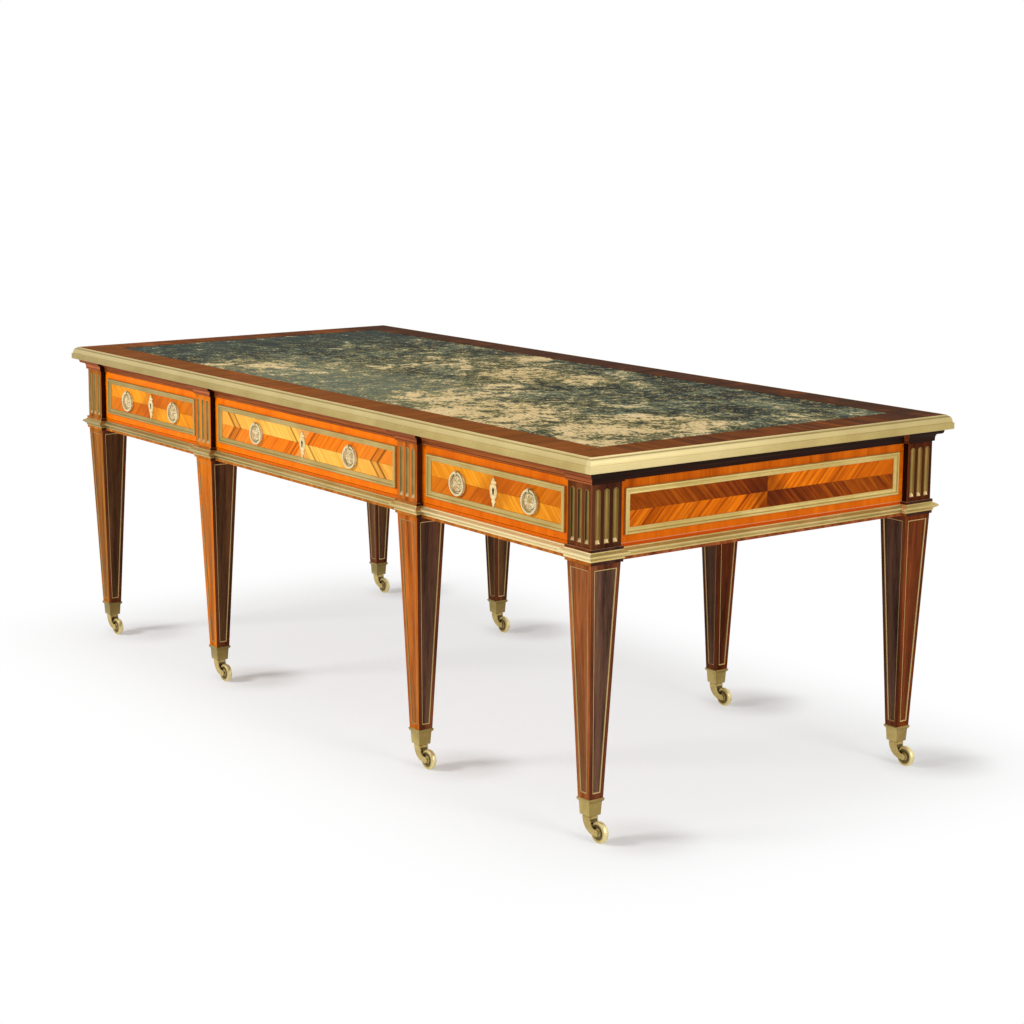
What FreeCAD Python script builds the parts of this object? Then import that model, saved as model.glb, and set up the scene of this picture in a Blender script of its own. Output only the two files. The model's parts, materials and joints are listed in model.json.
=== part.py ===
import FreeCAD, Part
import math
import os
import re
from FreeCAD import Rotation, Vector

# A bureau plat: a flat writing table on eight tapered legs, with three drawers in the front,
# false drawer panels at the back, framed panels at the ends, and a caster under every leg.
# Millimetres. The origin is on the floor under the middle of the top. +X runs along the
# length to the right, the drawers face -Y, and +Z is up.

# Driving dimensions
SIZES = {
    # the top
    "desk_height": 780,
    "top_length": 2192,
    "top_width": 1009,
    "top_thickness": 31,
    "top_overhang": 32,
    "edge_width": 14,
    "edge_bead": 3.2,
    "edge_quirk": 2.4,
    "edge_step": 2.6,
    "edge_band_height": 14.5,
    "border_width": 85,
    "leather_thickness": 2,
    "leather_recess": 2.3,
    # the legs
    "block_side": 74,
    "middle_leg_offset": 441.8,
    "leg_top_side": 74,
    "leg_foot_side": 35.5,
    "apron_height": 184.5,
    "stringing_inset": 8.5,
    "stringing_margin": 11.5,
    "stringing_width": 2,
    "stringing_depth": 1.5,
    "flute_width": 12.5,
    "flute_pitch": 22,
    "flute_foot": 40,
    "flute_head": 37.5,
    "flute_depth": 5,
    "flute_wall": 1.2,
    "flute_batter": 2.2,
    # the apron
    "break_depth": 13,
    "lower_rail_height": 31.5,
    "upper_rail_height": 27,
    "panel_thickness": 25,
    "partition_thickness": 24,
    "runner_thickness": 18,
    "runner_bearing": 16,
    "guide_height": 30,
    # the mouldings
    "cornice_height": 26.5,
    "cornice_projection": 18,
    "cornice_face_height": 10.5,
    "cornice_face_lean": 3.5,
    "cornice_step": 5,
    "cornice_bed": 4,
    "cornice_bed_height": 4,
    "base_offset": 6.5,
    "base_height": 19,
    "base_projection": 13.5,
    "base_bead": 5.5,
    "base_bead_height": 3.6,
    "base_nose_radius": 2.8,
    "base_nose_height": 11,
    "base_crown": 4.5,
    "base_crown_height": 2,
    "fillet_projection": 3.5,
    "plinth_height": 5.5,
    "plinth_projection": 4,
    "frame_side_margin": 21,
    "frame_panel_margin": 17,
    "frame_end_margin": 16.5,
    "frame_width": 14,
    "frame_height": 6,
    "frame_fillet": 2,
    "frame_hollow": 3,
    "frame_inner_bead": 4,
    # the drawers
    "drawer_gap": 1.2,
    "runner_gap": 0.3,
    "drawer_depth": 640,
    "front_thickness": 22,
    "side_thickness": 12,
    "side_height": 108,
    "bottom_thickness": 8,
    "bottom_rise": 9,
    # the pulls
    "pull_drop": 2.5,
    "side_pull_offset": 123,
    "middle_pull_offset": 203,
    "plate_diameter": 51,
    "plate_seat": 5.5,
    "plate_height": 9,
    "plate_rim": 2.2,
    "plate_bead": 3.2,
    "ring_diameter": 52,
    "ring_wire": 5,
    "ring_standoff": 6,
    "eye_width": 6,
    "eye_clearance": 0.5,
    "eye_wall": 2.2,
    "post_diameter": 5,
    "post_end": 3,
    # the locks
    "escutcheon_height": 60,
    "escutcheon_width": 23.5,
    "escutcheon_thickness": 3,
    "keyhole_diameter": 6,
    "keyhole_slot": 3,
    "keyhole_drop": 7,
    "lock_width": 60,
    "lock_height": 78,
    "lock_thickness": 12,
    "bolt_width": 20,
    "bolt_thickness": 5,
    "bolt_height": 26,
    "bolt_throw": 7,
    "bolt_gap": 0.3,
    "mortise_gap": 1,
    # the feet
    "sabot_top": 87,
    "sabot_bottom": 54,
    "sabot_foot_side": 30,
    "sabot_neck_side": 33,
    "sabot_lip_side": 41,
    "sabot_lip_height": 7,
    "sabot_floor": 5,
    "spigot_side": 24,
    "collar_diameter": 22,
    "collar_height": 4.7,
    "collar_gap": 0.3,
    "stem_diameter": 8,
    "stem_length": 24,
    "stem_gap": 0.3,
    "wheel_diameter": 44,
    "wheel_width": 15,
    "wheel_tread": 6,
    "wheel_rim_diameter": 38.8,
    "wheel_rim_width": 13.8,
    "wheel_web_diameter": 30.8,
    "wheel_web_width": 10,
    "wheel_gap": 0.7,
    "wheel_clearance": 1.5,
    "hub_diameter": 14,
    "axle_diameter": 6,
    "axle_gap": 0.2,
    "fork_cheek": 3,
    "fork_boss_diameter": 14,
    "caster_trail": 30,
}

# Places worked out from the driving dimensions
LAYOUT = {
    "carcass_top": "desk_height - top_thickness",
    "apron_bottom": "carcass_top - apron_height",
    "flute_bottom": "apron_bottom + flute_foot",
    "flute_top": "carcass_top - flute_head",
    "block_x": "top_length / 2 - top_overhang",
    "block_y": "top_width / 2 - top_overhang",
    "face_x": "block_x - break_depth",
    "face_y": "block_y - break_depth",
    "inner_x": "block_x - block_side",
    "inner_y": "block_y - block_side",
    "corner_leg_x": "block_x - block_side / 2",
    "leg_y": "block_y - block_side / 2",
    "opening_bottom": "apron_bottom + lower_rail_height",
    "opening_top": "carcass_top - upper_rail_height",
    "opening_height": "opening_top - opening_bottom",
    "pull_height": "(opening_bottom + opening_top) / 2 - pull_drop",
    "bay_near": "middle_leg_offset + block_side / 2",
    "side_bay_centre": "(bay_near + inner_x) / 2",
    "side_bay_half": "(inner_x - bay_near) / 2",
    "middle_bay_half": "middle_leg_offset - block_side / 2",
    "front_back_y": "front_thickness - face_y",
    "drawer_top": "opening_top - drawer_gap",
    "ring_radius": "(ring_diameter - ring_wire) / 2",
    "eye_bore_radius": "ring_wire / 2 + eye_clearance",
    "wheel_radius": "wheel_diameter / 2",
    "fork_half_width": "wheel_width / 2 + wheel_gap + fork_cheek",
    "collar_top": "sabot_bottom - collar_gap",
    "collar_bottom": "collar_top - collar_height",
}

doc = FreeCAD.newDocument("bureau_plat")


def add_sheet(name, cells):
    """A spreadsheet with one named cell to a row."""
    sheet = doc.addObject("Spreadsheet::Sheet", name)
    for row, (alias, content) in enumerate(cells.items(), start=1):
        sheet.set(f"A{row}", alias)
        sheet.set(f"B{row}", content)
        sheet.setAlias(f"B{row}", alias)
    return sheet


def with_sheets(formula):
    """The formula with each named size written as its sheet's cell."""

    def cell(match):
        word = match.group(0)
        if word in SIZES:
            return f"Sizes.{word}"
        if word in LAYOUT:
            return f"Layout.{word}"
        return word

    return re.sub(r"[A-Za-z_]\w*", cell, formula)


sizes = add_sheet("Sizes", {alias: str(number) for alias, number in SIZES.items()})
layout = add_sheet("Layout", {alias: "=" + with_sheets(formula) for alias, formula in LAYOUT.items()})
doc.recompute()


def size(alias):
    """A number from the sheets, for the pieces that are drawn point by point."""
    sheet = sizes if alias in SIZES else layout
    return float(sheet.get(alias))


def bind(thing, **formulas):
    for name, formula in formulas.items():
        thing.setExpression(name, with_sheets(formula))
    return thing


def put(thing, x="0", y="0", z="0"):
    """Bind the place of a piece."""
    for axis, formula in zip("xyz", (x, y, z)):
        thing.setExpression(f"Placement.Base.{axis}", with_sheets(formula))
    return thing


def box(name, along, low):
    """A plain block: its three sizes and its low corner, as formulas."""
    thing = doc.addObject("Part::Box", name)
    bind(thing, Length=along[0], Width=along[1], Height=along[2])
    return put(thing, *low)


def rod(name, radius, height, base, axis=Vector(0, 0, 1)):
    """A cylinder that starts at base and runs along axis."""
    thing = doc.addObject("Part::Cylinder", name)
    bind(thing, Radius=radius, Height=height)
    thing.Placement = FreeCAD.Placement(Vector(), Rotation(Vector(0, 0, 1), axis))
    return put(thing, *base)


def joined(name, things):
    thing = doc.addObject("Part::MultiFuse", name)
    thing.Shapes = things
    thing.Refine = True
    return thing


def group(name, things):
    thing = doc.addObject("Part::Compound", name)
    thing.Links = things
    return thing


def cut(name, base, tools):
    thing = doc.addObject("Part::Cut", name)
    thing.Base = base
    thing.Tool = tools[0] if len(tools) == 1 else joined(name + "_tools", tools)
    return thing


def copied(name, source, x, y, z):
    """The same piece again at another place."""
    return put(group(name, [source]), x, y, z)


def mirrored(name, source, normal):
    thing = doc.addObject("Part::Mirroring", name)
    thing.Source = source
    thing.Base = Vector()
    thing.Normal = normal
    return thing


ACROSS = Vector(1, 0, 0)
ALONG = Vector(0, 1, 0)
OUTWARD = Vector(0, -1, 0)


def four_ways(name, source):
    """A piece and its mirror images at the other three quarters of the desk."""
    right_back = mirrored(name + "_right_back", source, ALONG)
    left_front = mirrored(name + "_left_front", source, ACROSS)
    left_back = mirrored(name + "_left_back", right_back, ACROSS)
    return [source, right_back, left_front, left_back]


def shaped(name, shape):
    thing = doc.addObject("Part::Feature", name)
    thing.Shape = shape
    return thing


NODES = []


def node(label, thing):
    """Name a finished sub-part, whose label is its file's name."""
    thing.Label = label
    NODES.append(thing)
    return thing


# Mouldings: a profile carried round a path, mitred at every corner

ARC_STEPS = 4


def arc_points(centre, radius, start, end, steps):
    """Points along a round stretch of a profile, angles in degrees."""
    points = []
    for i in range(steps + 1):
        angle = math.radians(start + (end - start) * i / steps)
        points.append((centre[0] + radius[0] * math.cos(angle), centre[1] + radius[1] * math.sin(angle)))
    return points


def mitre(before, here, after, offset):
    """The point on the mitre at a corner that lies offset to the right of the path."""

    def right_of(start, end):
        step = end - start
        return Vector(step.y, -step.x, 0).normalize()

    one = right_of(before, here)
    two = right_of(here, after)
    return here + (one + two) * (offset / (1 + one.dot(two)))


def mitred_length(loop, first, last, profile, place):
    """One length of moulding, from corner first to corner last of a closed loop.

    profile holds (offset, rise) points, and place turns (u, v, rise) into a point of the desk.
    """
    sections = []
    for i in range(first, last + 1):
        here = loop[i % len(loop)]
        before = loop[(i - 1) % len(loop)]
        after = loop[(i + 1) % len(loop)]
        mitres = [(mitre(before, here, after, offset), rise) for offset, rise in profile]
        sections.append([place(at.x, at.y, rise) for at, rise in mitres])
    outlines = [sections[0], sections[-1]]
    for near, far in zip(sections, sections[1:]):
        for j in range(len(profile)):
            outlines.append([near[j - 1], near[j], far[j], far[j - 1]])
    shell = Part.makeShell([Part.Face(Part.makePolygon(points + points[:1])) for points in outlines])
    shell.sewShape()
    solid = Part.makeSolid(shell)
    if solid.Volume < 0:
        solid.reverse()
    return solid


def upright(x, y, rise):
    return Vector(x, y, rise)


def on_front(x, z, rise):
    return Vector(x, -size("face_y") - rise, z)


def on_right_end(y, z, rise):
    return Vector(size("face_x") + rise, y, z)


def apron_loop():
    """The plan of the apron, counter-clockwise, with a break forward at every block.

    Returns the corners and the places in the list of the four outer corners.
    """
    bx, by = size("block_x"), size("block_y")
    fx, fy = size("face_x"), size("face_y")
    ix, iy = size("inner_x"), size("inner_y")
    near, middle = size("bay_near"), size("middle_bay_half")
    front = [(-bx, -by), (-ix, -by), (-ix, -fy), (-near, -fy), (-near, -by), (-middle, -by), (-middle, -fy)]
    front += [(-x, y) for x, y in reversed(front)]
    right = [(bx, -iy), (fx, -iy), (fx, iy), (bx, iy)]
    back = [(-x, -y) for x, y in front]
    left = [(-x, -y) for x, y in right]
    loop = [Vector(x, y, 0) for x, y in front + right + back + left]
    second = len(front) - 1
    third = second + len(right) + 1
    fourth = third + len(back) - 1
    return loop, (0, second, third, fourth, len(loop))


def apron_moulding(name, profile):
    """A moulding round the whole apron, in four lengths that meet at the outer corners."""
    loop, outer = apron_loop()
    lengths = [mitred_length(loop, a, b, profile, upright) for a, b in zip(outer, outer[1:])]
    return [shaped(f"{name}_{i}", shape) for i, shape in enumerate(lengths, start=1)]


def block_fillet(name, near_x, far_x, profile):
    """A fillet round the part of a block that stands forward, at the right of the front."""
    by, fy, fx, iy = size("block_y"), size("face_y"), size("face_x"), size("inner_y")
    if far_x is None:
        bx = size("block_x")
        loop = [(near_x, -fy), (near_x, -by), (bx, -by), (bx, -iy), (fx, -iy)]
    else:
        loop = [(near_x, -fy), (near_x, -by), (far_x, -by), (far_x, -fy)]
    corners = [Vector(x, y, 0) for x, y in loop]
    first, last = corners[0], corners[-1]
    corners.insert(0, first + (first - corners[1]))
    corners.append(last + (last - corners[-2]))
    return shaped(name, mitred_length(corners, 1, len(corners) - 2, profile, upright))


def four_lengths(name, low, high, profile, place):
    """Four lengths round a rectangle, mitred together; low and high are two of its corners."""
    loop = [Vector(*low, 0), Vector(high[0], low[1], 0), Vector(*high, 0), Vector(low[0], high[1], 0)]
    lengths = [mitred_length(loop, i, i + 1, profile, place) for i in range(len(loop))]
    return [shaped(f"{name}_{i}", shape) for i, shape in enumerate(lengths, start=1)]


def frame_moulding(name, low, high, place):
    """A raised frame with a crest near its outer edge, a hollow and a small inner bead."""
    width, crest = size("frame_width"), size("frame_height")
    fillet, hollow, bead = size("frame_fillet"), size("frame_hollow"), size("frame_inner_bead")
    heights = [fillet, crest, crest, hollow, hollow, bead, fillet]
    step = width / (len(heights) - 1)
    surface = [(-i * step, height) for i, height in enumerate(heights)]
    profile = [(0, 0)] + surface + [(-width, 0)]
    return group(name, four_lengths(name, low, high, profile, place))


# Sketches on a body of their own


def new_body(name):
    return doc.addObject("PartDesign::Body", name)


def sketch_on(body, role, name):
    """An empty sketch on one of the body's own origin planes."""
    sketch = body.newObject("Sketcher::SketchObject", name)
    plane = next(feature for feature in body.Origin.OriginFeatures if feature.Role == role)
    sketch.AttachmentSupport = [(plane, "")]
    sketch.MapMode = "FlatFace"
    return sketch


def draw(sketch, outline):
    """Draw a closed outline: each entry is a corner, or a pair of a point on the way and a corner."""
    corners = [entry[1] if isinstance(entry[0], tuple) else entry for entry in outline]
    for i, entry in enumerate(outline):
        start = Vector(*corners[i - 1], 0)
        end = Vector(*corners[i], 0)
        if isinstance(entry[0], tuple):
            sketch.addGeometry(Part.Arc(start, Vector(*entry[0], 0), end), False)
        else:
            sketch.addGeometry(Part.LineSegment(start, end), False)


def revolved_body(name, outline):
    """A turned piece: the outline holds (radius, height) and turns about the body's Y axis."""
    body = new_body(name)
    sketch = sketch_on(body, "XY_Plane", name + "_profile")
    draw(sketch, outline)
    turn = body.newObject("PartDesign::Revolution", name + "_turn")
    turn.Profile = sketch
    turn.ReferenceAxis = (sketch, ["V_Axis"])
    turn.Angle = 360
    return body


def add_pad(body, sketch, length, midplane=False):
    pad = body.newObject("PartDesign::Pad", sketch.Name + "_pad")
    pad.Profile = sketch
    pad.Midplane = midplane
    bind(pad, Length=length)
    return pad


# The top: board, leather and brass edge

seat_x = "(top_length - 2 * edge_width)"
seat_y = "(top_width - 2 * edge_width)"
field_x = f"({seat_x} - 2 * border_width)"
field_y = f"({seat_y} - 2 * border_width)"

seat = (size("top_length") / 2 - size("edge_width"), size("top_width") / 2 - size("edge_width"))
seat_corners = ((-seat[0], -seat[1]), seat)


def top_border():
    """The mitred border boards, whose height above the board makes the leather's bed."""
    top, wide = size("desk_height"), size("border_width")
    low = top - size("leather_recess")
    profile = [(0, low), (0, top), (-wide, top), (-wide, low)]
    return four_lengths("top_border", *seat_corners, profile, upright)


board = box(
    "board",
    (seat_x, seat_y, "top_thickness - leather_recess"),
    (f"-{seat_x} / 2", f"-{seat_y} / 2", "carcass_top"),
)
node("top_board", group("bordered_board", [board] + top_border()))
leather = box(
    "leather",
    (field_x, field_y, "leather_thickness"),
    (f"-{field_x} / 2", f"-{field_y} / 2", "desk_height - leather_recess"),
)
node("leather_inset", leather)


def top_edge():
    """The brass edge: a bead against the wood, a quirk, a broad round, and a band below a step."""
    wide, top, low = size("edge_width"), size("desk_height"), size("carcass_top")
    bead, band_top = size("edge_bead"), low + size("edge_band_height")
    broad = (wide - size("edge_step") - bead, top - size("edge_quirk") - band_top)
    profile = [(0, low), (wide, low), (wide, band_top)]
    profile += arc_points((bead, band_top), broad, 0, 90, ARC_STEPS)
    profile += arc_points((bead / 2, top - bead / 2), (bead / 2, bead / 2), 0, 180, ARC_STEPS)
    return four_lengths("top_edge", *seat_corners, profile, upright)


node("top_edge_moulding", group("top_edge", top_edge()))


def cornice_profile():
    """A rounded face under the top, a step, a hollow, and a bed fillet against the frieze."""
    out, top = size("cornice_projection"), size("carcass_top")
    low = top - size("cornice_height")
    lean, face_tall = size("cornice_face_lean"), size("cornice_face_height")
    bed, bed_top = size("cornice_bed"), low + size("cornice_bed_height")
    hollow_out = out - lean - size("cornice_step")
    hollow = (hollow_out - bed, top - face_tall - bed_top)
    profile = [(0, top), (0, low), (bed, low)]
    profile += arc_points((hollow_out, bed_top), hollow, 180, 90, ARC_STEPS)
    return profile + arc_points((out - lean, top), (lean, face_tall), 270, 360, ARC_STEPS)


node("cornice_moulding", group("cornice", apron_moulding("cornice_length", cornice_profile())))


def base_profile():
    """The brass base: a bead, a slope out to the rounded nose, and a slope back to the crown."""
    out = size("base_projection")
    low = size("apron_bottom") + size("base_offset")
    top = low + size("base_height")
    bead, bead_tall = size("base_bead"), size("base_bead_height")
    nose, nose_z = size("base_nose_radius"), low + size("base_nose_height")
    crown = size("base_crown")
    profile = [(0, low), (bead, low), (bead, low + bead_tall)]
    profile += arc_points((out - nose, nose_z), (nose, nose), -60, 60, ARC_STEPS)
    return profile + [(crown, top - size("base_crown_height")), (crown, top), (0, top)]


node("base_moulding", group("base", apron_moulding("base_length", base_profile())))


def strip_profile(low, tall, out):
    return [(0, low), (out, low), (out, low + tall), (0, low + tall)]


def fillets():
    """The wooden strip under the brass base, and the plinths above it round every block."""
    strip = strip_profile(size("apron_bottom"), size("base_offset"), size("fillet_projection"))
    pieces = apron_moulding("apron_strip", strip)
    plinth_low = size("apron_bottom") + size("base_offset") + size("base_height")
    plinth = strip_profile(plinth_low, size("plinth_height"), size("plinth_projection"))
    corner = block_fillet("corner_plinth", size("inner_x"), None, plinth)
    middle = block_fillet("middle_plinth", size("middle_bay_half"), size("bay_near"), plinth)
    return pieces + four_ways("corner_plinth", corner) + four_ways("middle_plinth", middle)


node("apron_fillets", group("fillets", fillets()))

# The legs: a block as high as the apron, a taper below it, and a spigot in the sabot


def leg_frame_points(z, inset):
    """Where a line that follows the leg's edge, inset from it, lies at height z."""
    rise = (z - size("sabot_top")) / (size("apron_bottom") - size("sabot_top"))
    half = (size("leg_foot_side") + (size("leg_top_side") - size("leg_foot_side")) * rise) / 2
    return half - inset, half


def leg_panel(inset, margin, outward, inward):
    """A tapered slab over one face of a leg that stands at the origin."""
    low = size("sabot_top") + margin
    high = size("apron_bottom") - margin
    foot, foot_half = leg_frame_points(low, inset)
    head, head_half = leg_frame_points(high, inset)
    corners = [Vector(-foot, -foot_half, low), Vector(foot, -foot_half, low)]
    corners += [Vector(head, -head_half, high), Vector(-head, -head_half, high)]
    slope = (head_half - foot_half) / (high - low)
    normal = Vector(0, -1, -slope).normalize()
    moved = [corner + normal * outward for corner in corners]
    return Part.Face(Part.makePolygon(moved + moved[:1])).extrude(-normal * (outward + inward))


def turned_about(shape, x, y, quarter_turns):
    copy = shape.copy()
    copy.rotate(Vector(), Vector(0, 0, 1), 90 * quarter_turns)
    copy.translate(Vector(x, y, 0))
    return copy


CLEAR = 1.0


def leg_recess(x, y):
    """The four sunk panels of one leg, as one cutting tool."""
    slab = leg_panel(size("stringing_inset"), size("stringing_margin"), CLEAR, size("stringing_depth"))
    return Part.makeCompound([turned_about(slab, x, y, turns) for turns in range(4)])


def leg_frames(x, y):
    """The brass line frames that line the four sunk panels of one leg."""
    inset, margin = size("stringing_inset"), size("stringing_margin")
    depth, wide = size("stringing_depth"), size("stringing_width")
    outer = leg_panel(inset, margin, 0, depth)
    inner = leg_panel(inset + wide, margin + wide, CLEAR, depth + CLEAR)
    frame = outer.cut(inner)
    return [turned_about(frame, x, y, turns) for turns in range(4)]


TOP_CHORDS = 6


def flute_outline(shrink, depth):
    """A flute's outline on the block's front face: straight sides, a round head, a square foot."""
    half = size("flute_width") / 2 - shrink
    low = size("flute_bottom") + shrink
    spring = size("flute_top") - size("flute_width") / 2
    points = [(-half, low), (half, low)] + arc_points((0, spring), (half, half), 0, 180, TOP_CHORDS)
    corners = [Vector(x, depth - size("block_side") / 2, z) for x, z in points]
    return Part.makePolygon(corners + corners[:1])


def flute_slot():
    """The pocket that takes a flute's lining."""
    return Part.Face(flute_outline(0, -CLEAR)).extrude(Vector(0, CLEAR + size("flute_depth"), 0))


def flute_lining():
    """The brass lining: a bar that fills the pocket, hollowed towards its middle."""
    wall, depth = size("flute_wall"), size("flute_depth")
    floor_inset = wall + size("flute_batter")
    bar = Part.Face(flute_outline(0, 0)).extrude(Vector(0, depth, 0))
    hollow = Part.makeLoft([flute_outline(wall, 0), flute_outline(floor_inset, depth - wall)], True, True)
    return bar.cut(hollow)


def flutes(shape, x, y, faces):
    """Three flutes on each of the given faces of a block; face 0 looks to -Y and face 1 to +X."""
    pieces = []
    for face in faces:
        for i in (-1, 0, 1):
            moved = shape.copy()
            moved.translate(Vector(i * size("flute_pitch"), 0, 0))
            pieces.append(turned_about(moved, x, y, face))
    return pieces


def build_leg(name, x, faces):
    """One leg at the right of the front: its wood, its line frames and its flute linings."""
    at_x, at_y = size(x), -size("leg_y")
    side = "block_side"
    block = box(
        f"{name}_block",
        (side, side, "apron_height"),
        (f"{x} - {side} / 2", f"-leg_y - {side} / 2", "apron_bottom"),
    )
    taper = doc.addObject("Part::Wedge", f"{name}_taper")
    bind(taper, Ymin="0", Ymax="apron_bottom - sabot_top")
    bind(taper, Xmin="-leg_foot_side / 2", Xmax="leg_foot_side / 2")
    bind(taper, Zmin="-leg_foot_side / 2", Zmax="leg_foot_side / 2")
    bind(taper, X2min="-leg_top_side / 2", X2max="leg_top_side / 2")
    bind(taper, Z2min="-leg_top_side / 2", Z2max="leg_top_side / 2")
    taper.Placement = FreeCAD.Placement(Vector(), Rotation(Vector(1, 0, 0), 90))
    put(taper, x, "-leg_y", "sabot_top")
    spigot = box(
        f"{name}_spigot",
        ("spigot_side", "spigot_side", "sabot_top - sabot_bottom - sabot_floor"),
        (f"{x} - spigot_side / 2", "-leg_y - spigot_side / 2", "sabot_bottom + sabot_floor"),
    )
    wood = joined(f"{name}_wood", [block, taper, spigot])
    tools = [shaped(f"{name}_recess", leg_recess(at_x, at_y))]
    tools.append(shaped(f"{name}_flute_slots", Part.makeCompound(flutes(flute_slot(), at_x, at_y, faces))))
    socket = rod(
        f"{name}_socket",
        "stem_diameter / 2 + stem_gap",
        "stem_length + stem_gap",
        (x, "-leg_y", "collar_top"),
    )
    leg = wood
    for tool in tools + [socket]:
        leg = cut(f"{tool.Name}_cut", leg, [tool])
    frames = shaped(f"{name}_frames", Part.makeCompound(leg_frames(at_x, at_y)))
    linings = shaped(f"{name}_linings", Part.makeCompound(flutes(flute_lining(), at_x, at_y, faces)))
    return leg, frames, linings


FRONT_FACE, END_FACE = 0, 1
corner_leg, corner_frames, corner_linings = build_leg("corner_leg", "corner_leg_x", (FRONT_FACE, END_FACE))
middle_leg, middle_frames, middle_linings = build_leg("middle_leg", "middle_leg_offset", (FRONT_FACE,))
node("corner_legs", group("corner_leg_set", four_ways("corner_leg", corner_leg)))
node("middle_legs", group("middle_leg_set", four_ways("middle_leg", middle_leg)))
frame_sets = four_ways("corner_frames", corner_frames) + four_ways("middle_frames", middle_frames)
node("leg_stringing", group("stringing_set", frame_sets))
lining_sets = four_ways("corner_linings", corner_linings) + four_ways("middle_linings", middle_linings)
node("pilaster_flutes", group("flute_set", lining_sets))


def build_sabot(name, x):
    """A square brass foot with a flared lip, hollow for the spigot and bored for the stem."""
    levels = [
        ("sabot_foot_side", "sabot_bottom"),
        ("sabot_neck_side", "sabot_top - sabot_lip_height"),
        ("sabot_lip_side", "sabot_top - sabot_lip_height / 2"),
        ("sabot_lip_side", "sabot_top - sabot_lip_height / 5"),
        ("sabot_lip_side - sabot_lip_height / 5", "sabot_top"),
    ]
    sections = []
    for i, (side, z) in enumerate(levels):
        square = doc.addObject("Part::RegularPolygon", f"{name}_section_{i}")
        square.Polygon = 4
        bind(square, Circumradius=f"({side}) / sqrt(2)")
        square.Placement = FreeCAD.Placement(Vector(), Rotation(Vector(0, 0, 1), 45))
        sections.append(put(square, x, "-leg_y", z))
    outside = doc.addObject("Part::Loft", f"{name}_outside")
    outside.Sections = sections
    outside.Solid = True
    outside.Ruled = True
    inside = box(
        f"{name}_inside",
        ("spigot_side", "spigot_side", "sabot_top - sabot_bottom"),
        (f"{x} - spigot_side / 2", "-leg_y - spigot_side / 2", "sabot_bottom + sabot_floor"),
    )
    bore = rod(
        f"{name}_bore",
        "stem_diameter / 2 + stem_gap",
        "sabot_top - sabot_bottom",
        (x, "-leg_y", "collar_top"),
    )
    return cut(f"{name}_hollow", outside, [inside, bore])


sabots = four_ways("corner_sabot", build_sabot("corner_sabot", "corner_leg_x"))
sabots += four_ways("middle_sabot", build_sabot("middle_sabot", "middle_leg_offset"))
node("sabots", group("sabot_set", sabots))

# The apron: rails, panels, partitions and what carries the drawers

BAYS = {
    "left": ("-side_bay_centre", "side_bay_half", "side_pull_offset"),
    "middle": ("0", "middle_bay_half", "middle_pull_offset"),
    "right": ("side_bay_centre", "side_bay_half", "side_pull_offset"),
}


def build_rails(side, centre, half):
    """The rails above and below one drawer; the upper one has a mortise for the lock's bolt."""
    rail = (f"2 * {half}", "face_y - inner_y")
    start = (f"{centre} - {half}", "-face_y")
    lower = box(f"{side}_lower_rail", (*rail, "lower_rail_height"), (*start, "apron_bottom"))
    upper = box(f"{side}_upper_rail", (*rail, "upper_rail_height"), (*start, "opening_top"))
    mortise = box(
        f"{side}_mortise",
        ("bolt_width + 2 * mortise_gap", "bolt_thickness + 2 * mortise_gap", "bolt_throw + mortise_gap"),
        (
            f"{centre} - bolt_width / 2 - mortise_gap",
            "front_back_y - lock_thickness / 2 - bolt_thickness / 2 - mortise_gap",
            "opening_top",
        ),
    )
    return [lower, cut(f"{side}_mortised_rail", upper, [mortise])]


rails = []
for side, (centre, half, _) in BAYS.items():
    rails += build_rails(side, centre, half)
node("drawer_rails", group("rail_set", rails))

right_panel = box(
    "right_panel",
    ("panel_thickness", "2 * inner_y", "apron_height"),
    ("face_x - panel_thickness", "-inner_y", "apron_bottom"),
)
node("end_panels", group("end_panel_set", [right_panel, mirrored("left_panel", right_panel, ACROSS)]))

back_panels = []
for side, (centre, half, _) in BAYS.items():
    back_panels.append(
        box(
            f"{side}_back_panel",
            (f"2 * {half}", "panel_thickness", "apron_height"),
            (f"{centre} - {half}", "face_y - panel_thickness", "apron_bottom"),
        )
    )
node("back_panels", group("back_panel_set", back_panels))

right_partition = box(
    "right_partition",
    ("partition_thickness", "2 * inner_y", "apron_height"),
    ("middle_leg_offset - partition_thickness / 2", "-inner_y", "apron_bottom"),
)
left_partition = mirrored("left_partition", right_partition, ACROSS)
node("partitions", group("partition_set", [right_partition, left_partition]))


def build_runner(name, wall, bay_edge, towards_bay):
    """Runner, guide and kicker at one side of a drawer.

    wall is the face that carries them, bay_edge the side of the drawer opening, and
    towards_bay is 1 where the drawer lies on the +X side of the wall, or else -1.
    """
    length = "2 * inner_y"
    bearing = f"({bay_edge} - {wall}) * {towards_bay} + runner_bearing"
    guide = f"({bay_edge} - {wall}) * {towards_bay}"

    def low_x(wide):
        return wall if towards_bay > 0 else f"{wall} - ({wide})"

    runner = box(
        f"{name}_runner",
        (bearing, length, "runner_thickness"),
        (low_x(bearing), "-inner_y", "opening_bottom - runner_thickness"),
    )
    side_guide = box(
        f"{name}_guide",
        (guide, length, "guide_height"),
        (low_x(guide), "-inner_y", "opening_bottom"),
    )
    kicker = box(
        f"{name}_kicker",
        (bearing, length, "runner_thickness"),
        (low_x(bearing), "-inner_y", "opening_top"),
    )
    return [runner, side_guide, kicker]


runners = build_runner("right_outer", "(face_x - panel_thickness)", "inner_x", -1)
runners += build_runner("right_inner", "(middle_leg_offset + partition_thickness / 2)", "bay_near", 1)
runners += build_runner("middle", "(middle_leg_offset - partition_thickness / 2)", "middle_bay_half", -1)
runners += [mirrored(f"{piece.Name}_left", piece, ACROSS) for piece in runners]
node("drawer_runners", group("runner_set", runners))


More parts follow.
